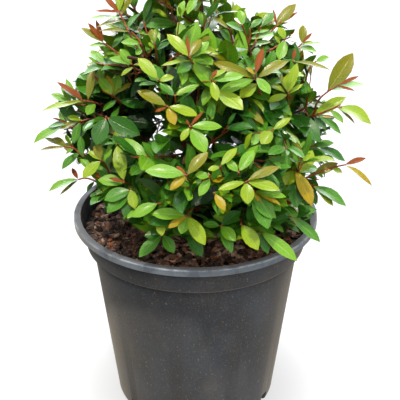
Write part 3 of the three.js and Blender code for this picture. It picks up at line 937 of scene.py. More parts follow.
@dataclass
class Growth:
    """The twigs and leaves that grow on from the limbs by the crown's rule, carried to finer shoots."""

    crown: Crown
    limbs: Limbs
    view: PhotoView
    seed: int = 39
    past_heart: float = 0.3
    leave_slope: float = 0.9
    leave_range: Span = (0.15, 0.95)
    bend: float = 0.16
    bend_depth: float = 0.65
    spray_below: float = 8.0
    room: float = 0.04
    settle_step: float = 0.08
    settle_tries: int = 8
    carry_on: float = 9.0
    spray_radius: Span = (2.4, 1.5)
    twig_radius: Span = (1.2, 0.7)
    side_radius: Span = (0.7, 0.45)
    side_length: Span = (20.0, 40.0)
    side_angle: Span = (32.0, 52.0)
    crowding: float = 5.0
    neighbours: int = 160
    placed_room: float = 5.0
    cover_pixels: float = 4.5
    cover_depth: float = 4.0
    fewest_leaves: int = 6
    fewest_bared_leaves: int = 11
    fewest_side_leaves: int = 3
    end_leaves: int = 2
    high: float = 375.0
    space_clearance: float = 0.5
    pot_clearance: float = 1.5
    lip_radius: float = 125.0
    lip_height: float = 215.0
    inner_radius: float = 111.0
    shaded_depth: float = 0.42
    placed_order: int = 2
    spray_steps: int = 8
    spray_skip: int = 2
    twig_steps: int = 9
    waves: Span = (1.0, 2.0)
    wave_size: Span = (0.8, 2.6)
    carry_play: Span = (0.5, 1.0)
    least_carry: float = 1.0
    tip_lift: float = 0.3
    level_play: float = 0.3
    turn_play: Span = (-0.25, 0.25)
    side_lift: float = 0.25
    side_bend: float = 0.5
    side_shrink: float = 0.8
    least_side: float = 0.6
    side_hem_gap: float = 8.0
    side_steps: int = 6
    width_play: Span = (0.88, 1.12)
    curls: Span = (0.1, 0.85)
    folds: Span = (0.08, 0.36)
    outward_lean: Span = (0.1, 0.6)
    sky_play: float = 0.55
    seat_tries: tuple[Span, ...] = ((1, 0.1), (1, 0.45), (0.8, 0.2), (0.8, 0.7), (0.62, 0.4))
    spot_shares: tuple[float, ...] = (0.15, 0.4, 0.65, 0.9)
    spot_sides: Span = (-0.8, 0.8)
    clear_shares: Triple = (0.4, 0.7, 1.0)
    twigs: list[Twig] = field(default_factory=list)
    leaves: list[Leaf] = field(default_factory=list)
    _middles: list[Point] = field(default_factory=list)
    _placed: int = 0
    _placed_points: Point = field(init=False)
    _placed_pixels: tuple[Point, Point] = field(init=False)
    _placed_reach: Point = field(init=False)

    def grow(self) -> None:
        """Grows the shoots that stand out in the picture, then every mass of foliage."""
        placed_shoots = enumerate(PLACED_SHOOTS, 1)
        paths = [self._place_leaves(placed, SeededStream(number)) for number, placed in placed_shoots]
        self._placed = len(self.leaves)
        self._placed_points = np.vstack([self._spots(leaf) for leaf in self.leaves])
        self._placed_pixels, self._placed_reach = self.view.pixels(self._placed_points)
        for number, path in enumerate(paths, 1):
            self._set_leaves(path, Shoot(MAIN_PLAN, Flush.REST, SeededStream(number)), self.placed_order)
        self.limbs.deal_tips(self.crown.shoot_tips())
        for number, mass in enumerate(self.limbs.masses):
            self._grow_mass(mass, self.seed + number)

    def _in_own_space(self, point: Point, mass: Mass) -> bool:
        """Whether a point is on a mass's own side of the planes between the hearts.

        Args:
            point: The point.
            mass: The mass.

        Returns:
            True where no other mass's space begins.
        """
        for other in self.limbs.masses:
            if other is mass:
                continue
            apart = other.heart - mass.heart
            middle = (other.heart + mass.heart) / 2
            if np.dot(point - middle, unit(apart)) > -self.space_clearance:
                return False
        return True

    def _clear_of_pot(self, point: Point) -> bool:
        """Whether a point is above the potting mix, over the lip or outside the pot.

        Args:
            point: The point.

        Returns:
            True where it keeps clear.
        """
        across, gap = math.hypot(point[0], point[1]), self.pot_clearance
        if across < self.inner_radius - gap:
            return point[2] > SOIL_TOP + gap
        return across > self.lip_radius + gap or point[2] > self.lip_height + gap

    def _spray_stem(self, mass: Mass) -> Curve:
        """The stem that carries a mass on from its limb to a little past its heart.

        Args:
            mass: The mass.

        Returns:
            The stem's centre line.
        """
        start = mass.limb.point(1)
        onward = mass.limb.tangent(1)
        end = mass.heart + (mass.heart - start) * self.past_heart
        return Curve((start, start + onward * np.linalg.norm(end - start) / 2, end))

    def _settled(self, tip: Point, mass: Mass) -> Point:
        """A tip, drawn back towards its mass's heart until it is in the mass's own space.

        Args:
            tip: The tip.
            mass: Its mass.

        Returns:
            The place where it settles.
        """
        settled = tip
        for _ in range(self.settle_tries):
            ahead = settled + (settled - mass.heart) * self.room
            if self._in_own_space(ahead, mass) and self._clear_of_pot(ahead):
                break
            settled = settled + (mass.heart - settled) * self.settle_step
        return settled

    def _shoot_curve(self, stem: Curve, settled: Point) -> Curve:
        """A twig that leaves the spray's stem on a slant and bends out to its tip.

        Args:
            stem: The spray's stem.
            settled: The twig's tip.

        Returns:
            The twig's centre line.
        """
        line = stem.corners[2] - stem.corners[0]
        way = settled - stem.corners[0]
        forward = np.dot(way, line) / np.dot(line, line)
        aside = np.linalg.norm(way - line * forward) / np.linalg.norm(line)
        start = stem.point(float(np.clip(forward - aside * self.leave_slope, *self.leave_range)))
        bend = (start + settled) / 2 + unit(line) * self.bend * np.linalg.norm(settled - start)
        return Curve((start, bend, settled))

    def _grow_mass(self, mass: Mass, seed: int) -> None:
        """Grows one mass: its stem, the twigs out to its tips and what they carry.

        Args:
            mass: The mass.
            seed: A number that picks its play.
        """
        stem = self._spray_stem(mass)
        self.twigs.append(Twig(stem.points(self.spray_steps), *self.spray_radius, young=False))
        for order, tip in enumerate(mass.tips):
            stream = SeededStream(seed * self.crown.shoots + order)
            curve = self._shoot_curve(stem, self._settled(tip, mass))
            path = self._twig_path(curve, stream)
            flush = stream.pick(HIGH_FLUSH_SHARES if tip[2] > self.high else FLUSH_SHARES)
            mark = self._mark()
            bare = self._set_leaves(path, Shoot(MAIN_PLAN, flush, stream))
            bared = self.view.in_hollow(path.points[len(path.points) // 2 :])
            fewest = self.fewest_bared_leaves if bared else self.fewest_leaves
            if len(self.leaves) - mark[0] >= fewest:
                self._add_twig(path, bare)
            else:
                self._undo(mark)

    def _place_leaves(self, placed: PlacedShoot, stream: SeededStream) -> Path:
        """Grows a shoot to where it is seen in the picture and lays its own leaves.

        Args:
            placed: The shoot.
            stream: Where its play comes from.

        Returns:
            The shoot's path.
        """
        tip = self.view.point(placed.tip, placed.depth, self.crown)
        depth = float(tip[1])
        bend = self.view.point(placed.bend, depth * self.bend_depth, self.crown)
        path = self._twig_path(Curve((self._nearest_spray(bend), bend, tip)), stream, 0.0)
        self._add_twig(path, 0.0)
        for leaf in placed.leaves:
            root = path.nearest(self.view.point(leaf.root, depth, self.crown))
            end = self.view.point(leaf.tip, depth - leaf.nearer(), self.crown)
            self._keep(leaf.lay(root, end, unit(root - self.crown.centre)))
        return path

    def _nearest_spray(self, point: Point) -> Point:
        """The place on the sprays' stems that is nearest to a point, from below it where there is one.

        Args:
            point: The point.

        Returns:
            The place.
        """
        stems = [self._spray_stem(mass).points(self.spray_steps) for mass in self.limbs.masses]
        places = np.vstack([stem[self.spray_skip :] for stem in stems])
        below = places[places[:, 2] < point[2] - self.spray_below]
        places = below if len(below) else places
        return places[int(np.argmin(np.linalg.norm(places - point, axis=1)))]

    def _spots(self, leaf: Leaf) -> Point:
        """Points spread over a leaf's blade."""
        places = [leaf.point(share) for share in self.spot_shares]
        return np.array(places + [leaf.point(0.5, aside) for aside in self.spot_sides])

    def _covers(self, leaf: Leaf) -> bool:
        """Whether a leaf would hide a placed one in the picture, or run into it.

        Args:
            leaf: The leaf.

        Returns:
            True where it would.
        """
        spots = self._spots(leaf)
        (across, down), reach = self.view.pixels(spots)
        placed_across, placed_down = self._placed_pixels
        apart = np.hypot(placed_across - across[:, None], placed_down - down[:, None])
        if np.any((apart < self.cover_pixels) & (self._placed_reach > reach[:, None] - self.cover_depth)):
            return True
        return bool(np.any(np.linalg.norm(self._placed_points - spots[:, None], axis=2) < self.placed_room))

    def _keep(self, leaf: Leaf) -> None:
        """Adds a leaf to the crown."""
        self.leaves.append(leaf)
        self._middles.append(leaf.point(WIDEST_SHARE))

    def _mark(self) -> tuple[int, int]:
        """How many leaves and twigs there are so far."""
        return len(self.leaves), len(self.twigs)

    def _undo(self, mark: tuple[int, int]) -> None:
        """Takes back the leaves and twigs that were added since a mark."""
        leaves, twigs = mark
        del self.leaves[leaves:], self._middles[leaves:], self.twigs[twigs:]

    def _twig_path(self, curve: Curve, stream: SeededStream, onward: float = 1.0) -> Path:
        """Draws the path of one main twig.

        Args:
            curve: The way that it takes.
            stream: Where its play comes from.
            onward: The share of the usual length that it is carried on past the curve's end.

        Returns:
            The twig's path.
        """
        points = curve.points(self.twig_steps)
        sway = np.cross(curve.tangent(0.5), unit(stream.play(1.0)))
        wave = np.sin(np.linspace(0, math.pi * stream.between(*self.waves), len(points)))
        points = points + wave[:, None] * sway * stream.between(*self.wave_size)
        end = unit(unit(points[-1] - points[-2]) + UP * self.tip_lift)
        carry = self.carry_on * stream.between(*self.carry_play) * onward
        return Path(np.vstack((points, points[-1] + end * max(carry, self.least_carry))))

    def _add_twig(self, path: Path, bare: float) -> None:
        """Adds one main twig, brown at its foot and red towards its tip.

        Args:
            path: The twig's path.
            bare: How much of its tip carries nothing and is left off.
        """
        points = path.short_of(bare)
        cut = len(points) // 2
        thick, thin = self.twig_radius
        half = (thick + thin) / 2
        self.twigs.append(Twig(points[: cut + 1], thick, half, young=False))
        self.twigs.append(Twig(points[cut:], half, thin, young=True))

    def _set_leaves(self, path: Path, shoot: Shoot, first_order: int = 0) -> float:
        """Sets a shoot's leaves in pairs, each turned a quarter from the last, with shoots in their axils.

        Args:
            path: The shoot's path.
            shoot: How it grows.
            first_order: The youngest pair that is set.

        Returns:
            How much of the shoot's tip carries nothing.
        """
        plan, stream = shoot.plan, shoot.stream
        bare = path.length
        _, heading = path.back(0)
        side = unit(np.cross(heading, UP + stream.play(self.level_play)))
        roll = stream.between(0, math.pi)
        places = plan.places(stream, path.length)
        for order in range(first_order, len(places)):
            place = places[order]
            root, tangent = path.back(place)
            level = unit(side - tangent * np.dot(side, tangent))
            third = np.cross(level, tangent)
            mark = self._mark()
            for way in (0, math.pi):
                turn = roll + way + order * math.pi / 2 + stream.between(*self.turn_play)
                axil = Axil(root, tangent, level * math.cos(turn) + third * math.sin(turn))
                self._seat_leaf(axil, shoot, order)
                if order in plan.side_orders and stream() < plan.side_share:
                    self._grow_side(axil, Shoot(SIDE_PLAN, shoot.flush, stream))
            grown = len(self.leaves) - mark[0]
            if first_order == 0 and bare == path.length and grown < self.end_leaves:
                self._undo(mark)
            elif grown:
                bare = min(bare, place)
        return max(0.0, bare - plan.first_space)

    def _grow_side(self, axil: Axil, shoot: Shoot) -> None:
        """Grows a short shoot out of a leaf's axil, where it has room.

        Args:
            axil: Where it starts.
            shoot: How it grows.
        """
        stream = shoot.stream
        angle = math.radians(stream.between(*self.side_angle))
        heading = axil.heading(angle, self.side_lift)
        length = stream.between(*self.side_length)
        while length > self.side_length[0] * self.least_side:
            tip = axil.root + heading * length
            hanging = tip[2] < self.crown.leaf_hem_at(tip) + self.side_hem_gap
            if self._clear_of_pot(tip) and self.crown.inside(tip) and not hanging:
                break
            length *= self.side_shrink
        else:
            return
        bend = axil.root + unit(heading + axil.outward * self.side_bend) * length / 2
        path = Path(Curve((axil.root, bend, tip)).points(self.side_steps))
        mark = self._mark()
        bare = self._set_leaves(path, shoot)
        if len(self.leaves) - mark[0] >= self.fewest_side_leaves:
            self.twigs.append(Twig(path.short_of(bare), *self.side_radius, young=True))
        else:
            self._undo(mark)

    def _seat_leaf(self, axil: Axil, shoot: Shoot, order: int) -> None:
        """Seats one leaf, lifted or made smaller until it keeps clear, or leaves it out.

        Args:
            axil: Where it is rooted.
            shoot: How its shoot grows.
            order: Its pair, counted from the shoot's tip.
        """
        plan, stream = shoot.plan, shoot.stream
        spread = math.radians(stream.between(*plan.spreads[order]))
        length = stream.between(*plan.lengths[order])
        width = plan.widths[order] * stream.between(*self.width_play)
        curl = stream.between(*self.curls)
        fold = stream.between(*self.folds)
        away = unit(axil.root - self.crown.centre)
        sky = UP + away * stream.between(*self.outward_lean) + stream.play(self.sky_play)
        kind = self._kind(axil.root, shoot, order)
        for size, lift in self.seat_tries:
            along = axil.heading(spread, lift)
            face = unit(sky - along * np.dot(sky, along))
            leaf = Leaf(axil.root, along, face, length * size, width, curl, fold, kind)
            if self._fits(leaf):
                self._keep(leaf)
                return

    def _kind(self, root: Point, shoot: Shoot, order: int) -> LeafKind:
        """The colour of a leaf by its place on the shoot and in the crown.

        Args:
            root: Where it is rooted.
            shoot: How its shoot grows.
            order: Its pair, counted from the shoot's tip.

        Returns:
            The colour.
        """
        stream = shoot.stream
        # Leaves deep in the crown or seen in its hollows take darker kinds, as painted shade.
        if self.crown.depth(root) > self.shaded_depth or self.view.seen_in(self.view.hollows, root):
            return stream.pick(SHADED_INNER_SHARES)
        if self.view.seen_in(self.view.quiet, root):
            return stream.pick(QUIET_SHARES)
        shares = KIND_SHARES[shoot.flush]
        if order < len(shares):
            return stream.pick(shares[order])
        # Older leaves high in the crown take paler kinds, painted light for its brighter top.
        return stream.pick(HIGH_SHARES if root[2] > self.high else OLD_SHARES)

    def _fits(self, leaf: Leaf) -> bool:
        """Whether a leaf keeps clear of the pot, in the crown's reach and off its neighbours.

        Args:
            leaf: The leaf.

        Returns:
            True where it has its own room.
        """
        places = [leaf.point(share) for share in self.clear_shares]
        places += [leaf.point(WIDEST_SHARE, aside) for aside in (-1, 1)]
        if not all(self._clear_of_pot(place) for place in places):
            return False
        if not self.crown.in_reach(places[2]):
            return False
        if any(place[2] < self.crown.leaf_hem_at(place) for place in places):
            return False
        if not self.view.against_plant(np.array(places)) or self._covers(leaf):
            return False
        if self.view.in_hollow(np.array(places)):
            return False
        recent = self._middles[max(self._placed, len(self._middles) - self.neighbours) :]
        if not recent:
            return True
        apart = np.linalg.norm(np.array(recent) - leaf.point(WIDEST_SHARE), axis=1)
        return float(apart.min()) > self.crowding


class NodeSketch:
    """A material's or a sky's node tree, with short calls for the few nodes that are used."""

    def __init__(self, holder: Material | bpy.types.World, shader: str = "Principled BSDF") -> None:
        """Starts a node tree.

        Args:
            holder: The material or the sky that it belongs to.
            shader: The name of its shader's node.
        """
        holder.use_nodes = True
        self.holder = holder
        self.tree = holder.node_tree
        self.shader = self.tree.nodes[shader]

    def node(self, kind: str, inputs: Inputs | None = None, **settings: object) -> bpy.types.Node:
        """Adds a node.

        Args:
            kind: The node's type.
            inputs: Values or sockets for its inputs, by name or number.
            **settings: Values for the node's own options.

        Returns:
            The node.
        """
        made = self.tree.nodes.new(kind)
        for key, value in settings.items():
            setattr(made, key, value)
        for key, value in (inputs or {}).items():
            if isinstance(value, Socket):
                self.tree.links.new(value, made.inputs[key])
            else:
                made.inputs[key].default_value = value
        return made

    def place(self, scale: Triple = (1, 1, 1), turn: Triple = (0, 0, 0)) -> Socket:
        """The piece's own coordinates, stretched and turned.

        Args:
            scale: How much they are stretched.
            turn: How far they are turned, in radians.

        Returns:
            The coordinates.
        """
        coords = self.node("ShaderNodeTexCoord").outputs["Object"]
        inputs = {"Vector": coords, "Scale": scale, "Rotation": turn}
        return self.node("ShaderNodeMapping", inputs).outputs["Vector"]

    def noise(self, vector: Socket, scale: float, detail: float = 4.0, roughness: float = 0.55) -> Socket:
        """A cloudy pattern from 0 to 1."""
        inputs = {"Vector": vector, "Scale": scale, "Detail": detail, "Roughness": roughness}
        return self.node("ShaderNodeTexNoise", inputs).outputs["Fac"]

    def fade(
        self, value: Socket, low: float, high: float, to_low: float = 0.0, to_high: float = 1.0
    ) -> Socket:
        """A smooth step of a value between two levels."""
        inputs = {"Value": value, "From Min": low, "From Max": high, "To Min": to_low, "To Max": to_high}
        return self.node("ShaderNodeMapRange", inputs, interpolation_type="SMOOTHSTEP").outputs["Result"]

    def sums(self, operation: str, *values: Socket | float) -> Socket:
        """One step of arithmetic."""
        return self.node("ShaderNodeMath", dict(enumerate(values)), operation=operation).outputs["Value"]

    def times(self, first: Socket, second: Socket | float) -> Socket:
        """The product of two values."""
        return self.sums("MULTIPLY", first, second)

    def blend(self, share: Socket | float, first: Socket | str, second: str) -> Socket:
        """A mix of two colours.

        Args:
            share: How much of the second there is.
            first: The first colour, or its six hex digits.
            second: The second colour's six hex digits.

        Returns:
            The mixed colour.
        """
        start = first if isinstance(first, Socket) else (*paint(first), 1.0)
        inputs = {0: share, 6: start, 7: (*paint(second), 1.0)}
        return self.node("ShaderNodeMix", inputs, data_type="RGBA").outputs[2]

    def set(self, name: str, value: Socket | float | Triple) -> None:
        """Gives one of the shader's inputs a value or a socket.

        Args:
            name: The input's name.
            value: What it is given.
        """
        if isinstance(value, Socket):
            self.tree.links.new(value, self.shader.inputs[name])
        else:
            self.shader.inputs[name].default_value = (*value, 1.0) if isinstance(value, tuple) else value

    def relief(self, height: Socket, depth: float, strength: float = 1.0) -> None:
        """Gives the surface a fine relief of a depth in metres."""
        inputs = {"Height": height, "Distance": depth, "Strength": strength}
        self.set("Normal", self.node("ShaderNodeBump", inputs).outputs["Normal"])


@dataclass(frozen=True)
class LeafFinish:
    """The colours and gloss of one kind of leaf."""

    blade: str
    tip: str
    rib: str
    edge: str
    roughness: float = 0.31
    gloss: float = 0.42
    veins: float = 11.0
    vein_slant: float = 0.136
    stalk: str = "a4552f"

    def material(self, name: str) -> Material:
        """Makes the leaf's material, whose midrib, veins and edge follow the leaf's own map.

        Args:
            name: The material's name.

        Returns:
            The material.
        """
        sketch = NodeSketch(bpy.data.materials.new(name))
        place = sketch.node("ShaderNodeUVMap", uv_map=LEAF_MAP).outputs["UV"]
        axes = sketch.node("ShaderNodeSeparateXYZ", {"Vector": place}).outputs
        off_rib = sketch.sums("ABSOLUTE", sketch.sums("SUBTRACT", axes["X"], 0.5))
        aside = sketch.times(off_rib, 2.0)
        along = axes["Y"]
        slanted = sketch.sums("SUBTRACT", along, sketch.times(aside, self.vein_slant))
        ripple = sketch.sums("SINE", sketch.times(slanted, self.veins * math.tau))
        vein = sketch.fade(ripple, 0.72, 1.0)
        rib = sketch.fade(aside, 0.13, 0.03)
        mottle = sketch.noise(place, 7.0, 3.0)
        blade = sketch.blend(sketch.fade(along, 0.15, 1.0), self.blade, self.tip)
        blade = sketch.blend(sketch.fade(mottle, 0.35, 0.75, 0.0, 0.35), blade, self.tip)
        blade = sketch.blend(sketch.times(vein, 0.2), blade, self.rib)
        blade = sketch.blend(sketch.fade(aside, 0.82, 1.0, 0.0, 0.5), blade, self.edge)
        blade = sketch.blend(sketch.times(rib, 0.5), blade, self.rib)
        blade = sketch.blend(sketch.fade(along, 0.12, 0.05), blade, self.stalk)
        sketch.set("Base Color", blade)
        sketch.set("Roughness", sketch.fade(mottle, 0.3, 0.7, self.roughness - 0.06, self.roughness + 0.08))
        sketch.set("Specular IOR Level", self.gloss)
        height = sketch.sums("ADD", sketch.times(vein, -0.5), sketch.times(rib, -1.0))
        sketch.relief(height, 0.0003, 0.6)
        return sketch.holder


LEAF_FINISHES = {
    DEEP: LeafFinish("285e16", "306a18", "427428", "3a6a20", gloss=0.4),
    SHADE: LeafFinish("0d250c", "122d10", "24441a", "163010", gloss=0.3),
    MID: LeafFinish("3f7a1e", "4a871e", "76a63a", "5e8e1e"),
    FRESH: LeafFinish("629c20", "70a620", "9ac04a", "7ea422"),
    LIME: LeafFinish("7ea212", "8ca810", "a6bc3e", "969e18"),
    OLIVE: LeafFinish("6c7808", "7e7c0a", "969228", "86681a", gloss=0.36),
    AMBER: LeafFinish("9e920a", "9e880a", "baa428", "966c18", gloss=0.36),
    RED: LeafFinish("80400c", "8c440c", "a65e26", "703010", roughness=0.45, gloss=0.2),
}


@dataclass(frozen=True)
class WoodFinish:
    """The colours and grain of bark on a limb or twig."""

    light: str
    dark: str
    roughness: float
    grain: float
    depth: float

    def material(self, name: str) -> Material:
        """Makes the bark's material.

        Args:
            name: The material's name.

        Returns:
            The material.
        """
        sketch = NodeSketch(bpy.data.materials.new(name))
        streaks = sketch.noise(sketch.place((1.0, 1.0, 0.25)), self.grain, 5.0, 0.6)
        flecks = sketch.noise(sketch.place(), self.grain * 2.6, 3.0)
        shade = sketch.blend(sketch.fade(streaks, 0.3, 0.7), self.dark, self.light)
        shade = sketch.blend(sketch.fade(flecks, 0.55, 0.8, 0.0, 0.5), shade, self.dark)
        sketch.set("Base Color", shade)
        sketch.set("Roughness", self.roughness)
        sketch.relief(sketch.sums("ADD", streaks, flecks), self.depth, 0.8)
        return sketch.holder


@dataclass(frozen=True)
class ChipFinish:
    """The colours of one kind of bark chip in the potting mix."""

    light: str
    dark: str
    share: float

    def material(self, name: str) -> Material:
        """Makes the chips' material: fibrous, rough and a little moist.

        Args:
            name: The material's name.

        Returns:
            The material.
        """
        sketch = NodeSketch(bpy.data.materials.new(name))
        fibre = sketch.noise(sketch.place((1.0, 0.3, 1.0), (0.4, 0.7, 0.2)), 420.0, 4.0, 0.65)
        patch = sketch.noise(sketch.place(), 90.0, 3.0)
        shade = sketch.blend(sketch.fade(fibre, 0.32, 0.68), self.dark, self.light)
        shade = sketch.blend(sketch.fade(patch, 0.35, 0.7, 0.0, 0.6), shade, self.dark)
        sketch.set("Base Color", shade)
        sketch.set("Roughness", sketch.fade(patch, 0.3, 0.7, 0.68, 0.95))
        sketch.relief(fibre, 0.0006, 0.9)
        return sketch.holder


@dataclass(frozen=True)
class PotFinish:
    """Dusty charcoal plastic, worn on the lip, with fine specks and scratches, a painted sheen on its left
    and right sides, painted shade on the lip's top and painted highlights along the lip's outer edge and the
    collar's lower edge.
    """

    charcoal: str = "434b57"
    soot: str = "363c45"
    dust: str = "716a64"
    # Dust and a painted sheen, laid lighter towards the pot's left and right sides.
    dust_and_side_sheen: str = "8c857c"
    bloom: str = "c4bcb0"
    worn: str = "76828f"
    # Painted shade on the lip's top.
    lip_top_shade: str = "565d67"
    # A rubbed line along the lip's outer edge, partly wear and partly a painted highlight.
    edge: str = "b4bcc6"
    # Dust along the collar's lower edge, partly a painted highlight.
    ledge: str = "84796d"
    speck: str = "9c9286"
    lip_top: float = 0.215
    lip_radius: float = 0.125
    collar_bottom: float = 0.1835
    collar_radius: float = 0.113
    side_sheen_span: Span = (0.74, 1.04)
    sheen: float = 0.75

    def material(self, name: str) -> Material:
        """Makes the pot's material.

        Args:
            name: The material's name.

        Returns:
            The material.
        """
        sketch = NodeSketch(bpy.data.materials.new(name))
        clouds = sketch.noise(sketch.place(), 16.0, 6.0, 0.65)
        blots = sketch.noise(sketch.place(), 70.0, 5.0, 0.65)
        smears = sketch.noise(sketch.place((1.0, 1.0, 0.5)), 30.0, 5.0, 0.65)
        grain = sketch.noise(sketch.place(), 620.0, 4.0, 0.75)
        specks = sketch.noise(sketch.place(), 560.0, 3.0, 0.6)
        lines = sketch.noise(sketch.place((1.0, 1.0, 0.45), (0.5, 0.4, 0.0)), 520.0, 2.0, 0.5)
        axes = sketch.node("ShaderNodeSeparateXYZ", {"Vector": sketch.place()}).outputs
        ground = sketch.node("ShaderNodeCombineXYZ", {"X": axes["X"], "Y": axes["Y"]}).outputs["Vector"]
        radius = sketch.node("ShaderNodeVectorMath", {0: ground}, operation="LENGTH").outputs["Value"]
        aside = sketch.sums("DIVIDE", sketch.sums("ABSOLUTE", axes["X"]), radius)
        shade = sketch.blend(sketch.fade(clouds, 0.38, 0.62), self.soot, self.charcoal)
        shade = sketch.blend(sketch.fade(smears, 0.5, 0.8, 0.0, 0.4), shade, self.dust)
        # Dust and a painted sheen: lighter towards the left and right sides as seen from the front.
        side_sheen_mask = sketch.sums("MULTIPLY_ADD", smears, 0.12, sketch.sums("SUBTRACT", aside, 0.06))
        shade = sketch.blend(sketch.fade(side_sheen_mask, *self.side_sheen_span, 0.0, 0.5), shade, self.dust_and_side_sheen)
        shade = sketch.blend(sketch.fade(grain, 0.48, 0.68, 0.0, 0.4), shade, self.dust)
        marks = sketch.sums("MAXIMUM", sketch.fade(lines, 0.64, 0.76), sketch.fade(specks, 0.62, 0.74))
        shade = sketch.blend(sketch.times(marks, 0.6), shade, self.speck)
        shade = self._edges(sketch, shade, axes["Z"], radius, blots, smears)
        sketch.set("Base Color", shade)
        sketch.set("Roughness", sketch.fade(clouds, 0.3, 0.7, 0.6, 0.8))
        sketch.set("Specular IOR Level", 0.25)
        sketch.set("Sheen Weight", self.sheen)
        sketch.set("Sheen Tint", paint(self.bloom))
        pits = sketch.times(marks, -0.5)
        sketch.relief(sketch.sums("MULTIPLY_ADD", grain, 0.5, pits), 0.0003, 0.6)
        return sketch.holder

    def _edges(
        self,
        sketch: NodeSketch,
        shade: Socket,
        height: Socket,
        radius: Socket,
        blots: Socket,
        smears: Socket,
    ) -> Socket:
        """Lays wear on the lip's outer face, painted shade on its top, a rubbed line between them that is
        partly a painted highlight, and dust along the collar's lower edge that is partly a painted
        highlight.

        Args:
            sketch: The pot's nodes.
            shade: The colour so far.
            height: The height of a point.
            radius: How far a point is from the pot's axis.
            blots: The pattern that breaks up the wear, the painted shade and the painted highlight.
            smears: The pattern that breaks up the dust and its painted highlight.

        Returns:
            The colour with its wear, dust, painted shade and painted highlights.
        """
        band = sketch.fade(radius, self.lip_radius - 0.0038, self.lip_radius - 0.0028)
        worn = sketch.times(band, sketch.fade(blots, 0.36, 0.62, 0.6, 1.0))
        shade = sketch.blend(worn, shade, self.worn)
        # Painted shade on the lip's top, mottled.
        top = sketch.fade(height, self.lip_top - 0.0008, self.lip_top - 0.0002)
        top_shade_mask = sketch.times(top, sketch.fade(blots, 0.3, 0.6, 1.0, 0.7))
        shade = sketch.blend(top_shade_mask, shade, self.lip_top_shade)
        # A rubbed line on the lip's outer edge: wear and a painted highlight.
        high = sketch.fade(height, self.lip_top - 0.0018, self.lip_top - 0.0009)
        outer = sketch.fade(radius, self.lip_radius - 0.0016, self.lip_radius - 0.0007)
        rubbed_highlight = sketch.times(sketch.times(high, outer), sketch.fade(blots, 0.4, 0.62, 0.05, 0.6))
        shade = sketch.blend(rubbed_highlight, shade, self.edge)
        # Dust on the collar's lower edge, which is also a painted highlight.
        outer = sketch.fade(radius, self.collar_radius - 0.0014, self.collar_radius - 0.0006)
        low = sketch.fade(height, self.collar_bottom + 0.0014, self.collar_bottom + 0.0006)
        dust_and_highlight = sketch.times(sketch.times(outer, low), sketch.fade(smears, 0.3, 0.6, 0.2, 0.7))
        return sketch.blend(dust_and_highlight, shade, self.ledge)


def select_only(*pieces: Piece) -> None:
    """Leaves edit mode and selects some pieces alone, or nothing.

    Args:
        *pieces: The pieces; the first of them becomes the active one.
    """
    if bpy.context.mode != "OBJECT":
        bpy.ops.object.mode_set(mode="OBJECT")
    bpy.ops.object.select_all(action="DESELECT")
    for piece in pieces:
        piece.select_set(True)
        bpy.context.view_layer.objects.active = pieces[0]


def apply_modifiers(piece: Piece) -> None:
    """Applies a piece's modifiers in order.

    Args:
        piece: The piece.
    """
    select_only(piece)
    for name in [modifier.name for modifier in piece.modifiers]:
        bpy.ops.object.modifier_apply(modifier=name)


def smooth(piece: Piece, degrees: float) -> None:
    """Shades a piece smooth up to an angle between its faces."""
    select_only(piece)
    bpy.ops.object.shade_smooth_by_angle(angle=math.radians(degrees))


def soften(profile: Sequence[Span], edge_round: float) -> list[Span]:
    """Rounds a profile's corners, with a ring close to each so that what lies between stays flat.

    Args:
        profile: Each ring's radius and height.
        edge_round: How far from a corner its round begins.

    Returns:
        The profile with its rounds.
    """
    points = [np.array(point, float) for point in profile]
    softened = [points[0]]
    for before, corner, after in zip(points, points[1:], points[2:]):
        back, onward = before - corner, after - corner
        shorter = min(np.linalg.norm(back), np.linalg.norm(onward))
        reach = min(edge_round, CORNER_SHARE * shorter)
        back, onward = unit(back) * reach, unit(onward) * reach
        softened.append(corner + back * CORNER_RING)
        softened.extend(Curve((corner + back, corner, corner + onward)).points(CORNER_STEPS))
        softened.append(corner + onward * CORNER_RING)
    softened.append(points[-1])
    return [(float(radius), float(height)) for radius, height in softened]


def draw_up(name: str, profile: Sequence[Span], sides: int) -> Piece:
    """Draws a round body up from a disc, ring by ring.

    Args:
        name: The piece's name.
        profile: Each ring's radius and height in millimetres, from the foot on; the last ring is closed.
        sides: How many sides each ring has.

    Returns:
        The body, closed and facing outwards.
    """
    select_only()
    radius, height = profile[0]
    bpy.ops.mesh.primitive_circle_add(
        vertices=sides, radius=radius * MM, fill_type="NGON", location=(0, 0, 0)
    )
    piece = bpy.context.object
    piece.name = piece.data.name = name
    bpy.ops.object.mode_set(mode="EDIT")
    bpy.ops.mesh.select_all(action="SELECT")
    bpy.ops.transform.translate(value=(0, 0, height * MM))
    for (last, below), (radius, height) in pairwise(profile):
        bpy.ops.mesh.extrude_region_move(TRANSFORM_OT_translate={"value": (0, 0, (height - below) * MM)})
        ratio = radius / last
        bpy.ops.transform.resize(value=(ratio, ratio, 1), center_override=(0, 0, height * MM))
    bpy.ops.mesh.select_all(action="SELECT")
    bpy.ops.mesh.normals_make_consistent(inside=False)
    bpy.ops.object.mode_set(mode="OBJECT")
    return piece


def piece_from_arrays(name: str, points: Point, faces: Sequence[Sequence[int]]) -> Piece:
    """Makes one joined piece from arrays.

    Args:
        name: The piece's name.
        points: Its points in millimetres.
        faces: The corners of each face.

    Returns:
        The piece.
    """
    mesh = bpy.data.meshes.new(name)
    mesh.from_pydata((points * MM).tolist(), [], faces)
    mesh.update()
    piece = bpy.data.objects.new(name, mesh)
    bpy.context.scene.collection.objects.link(piece)
    return piece


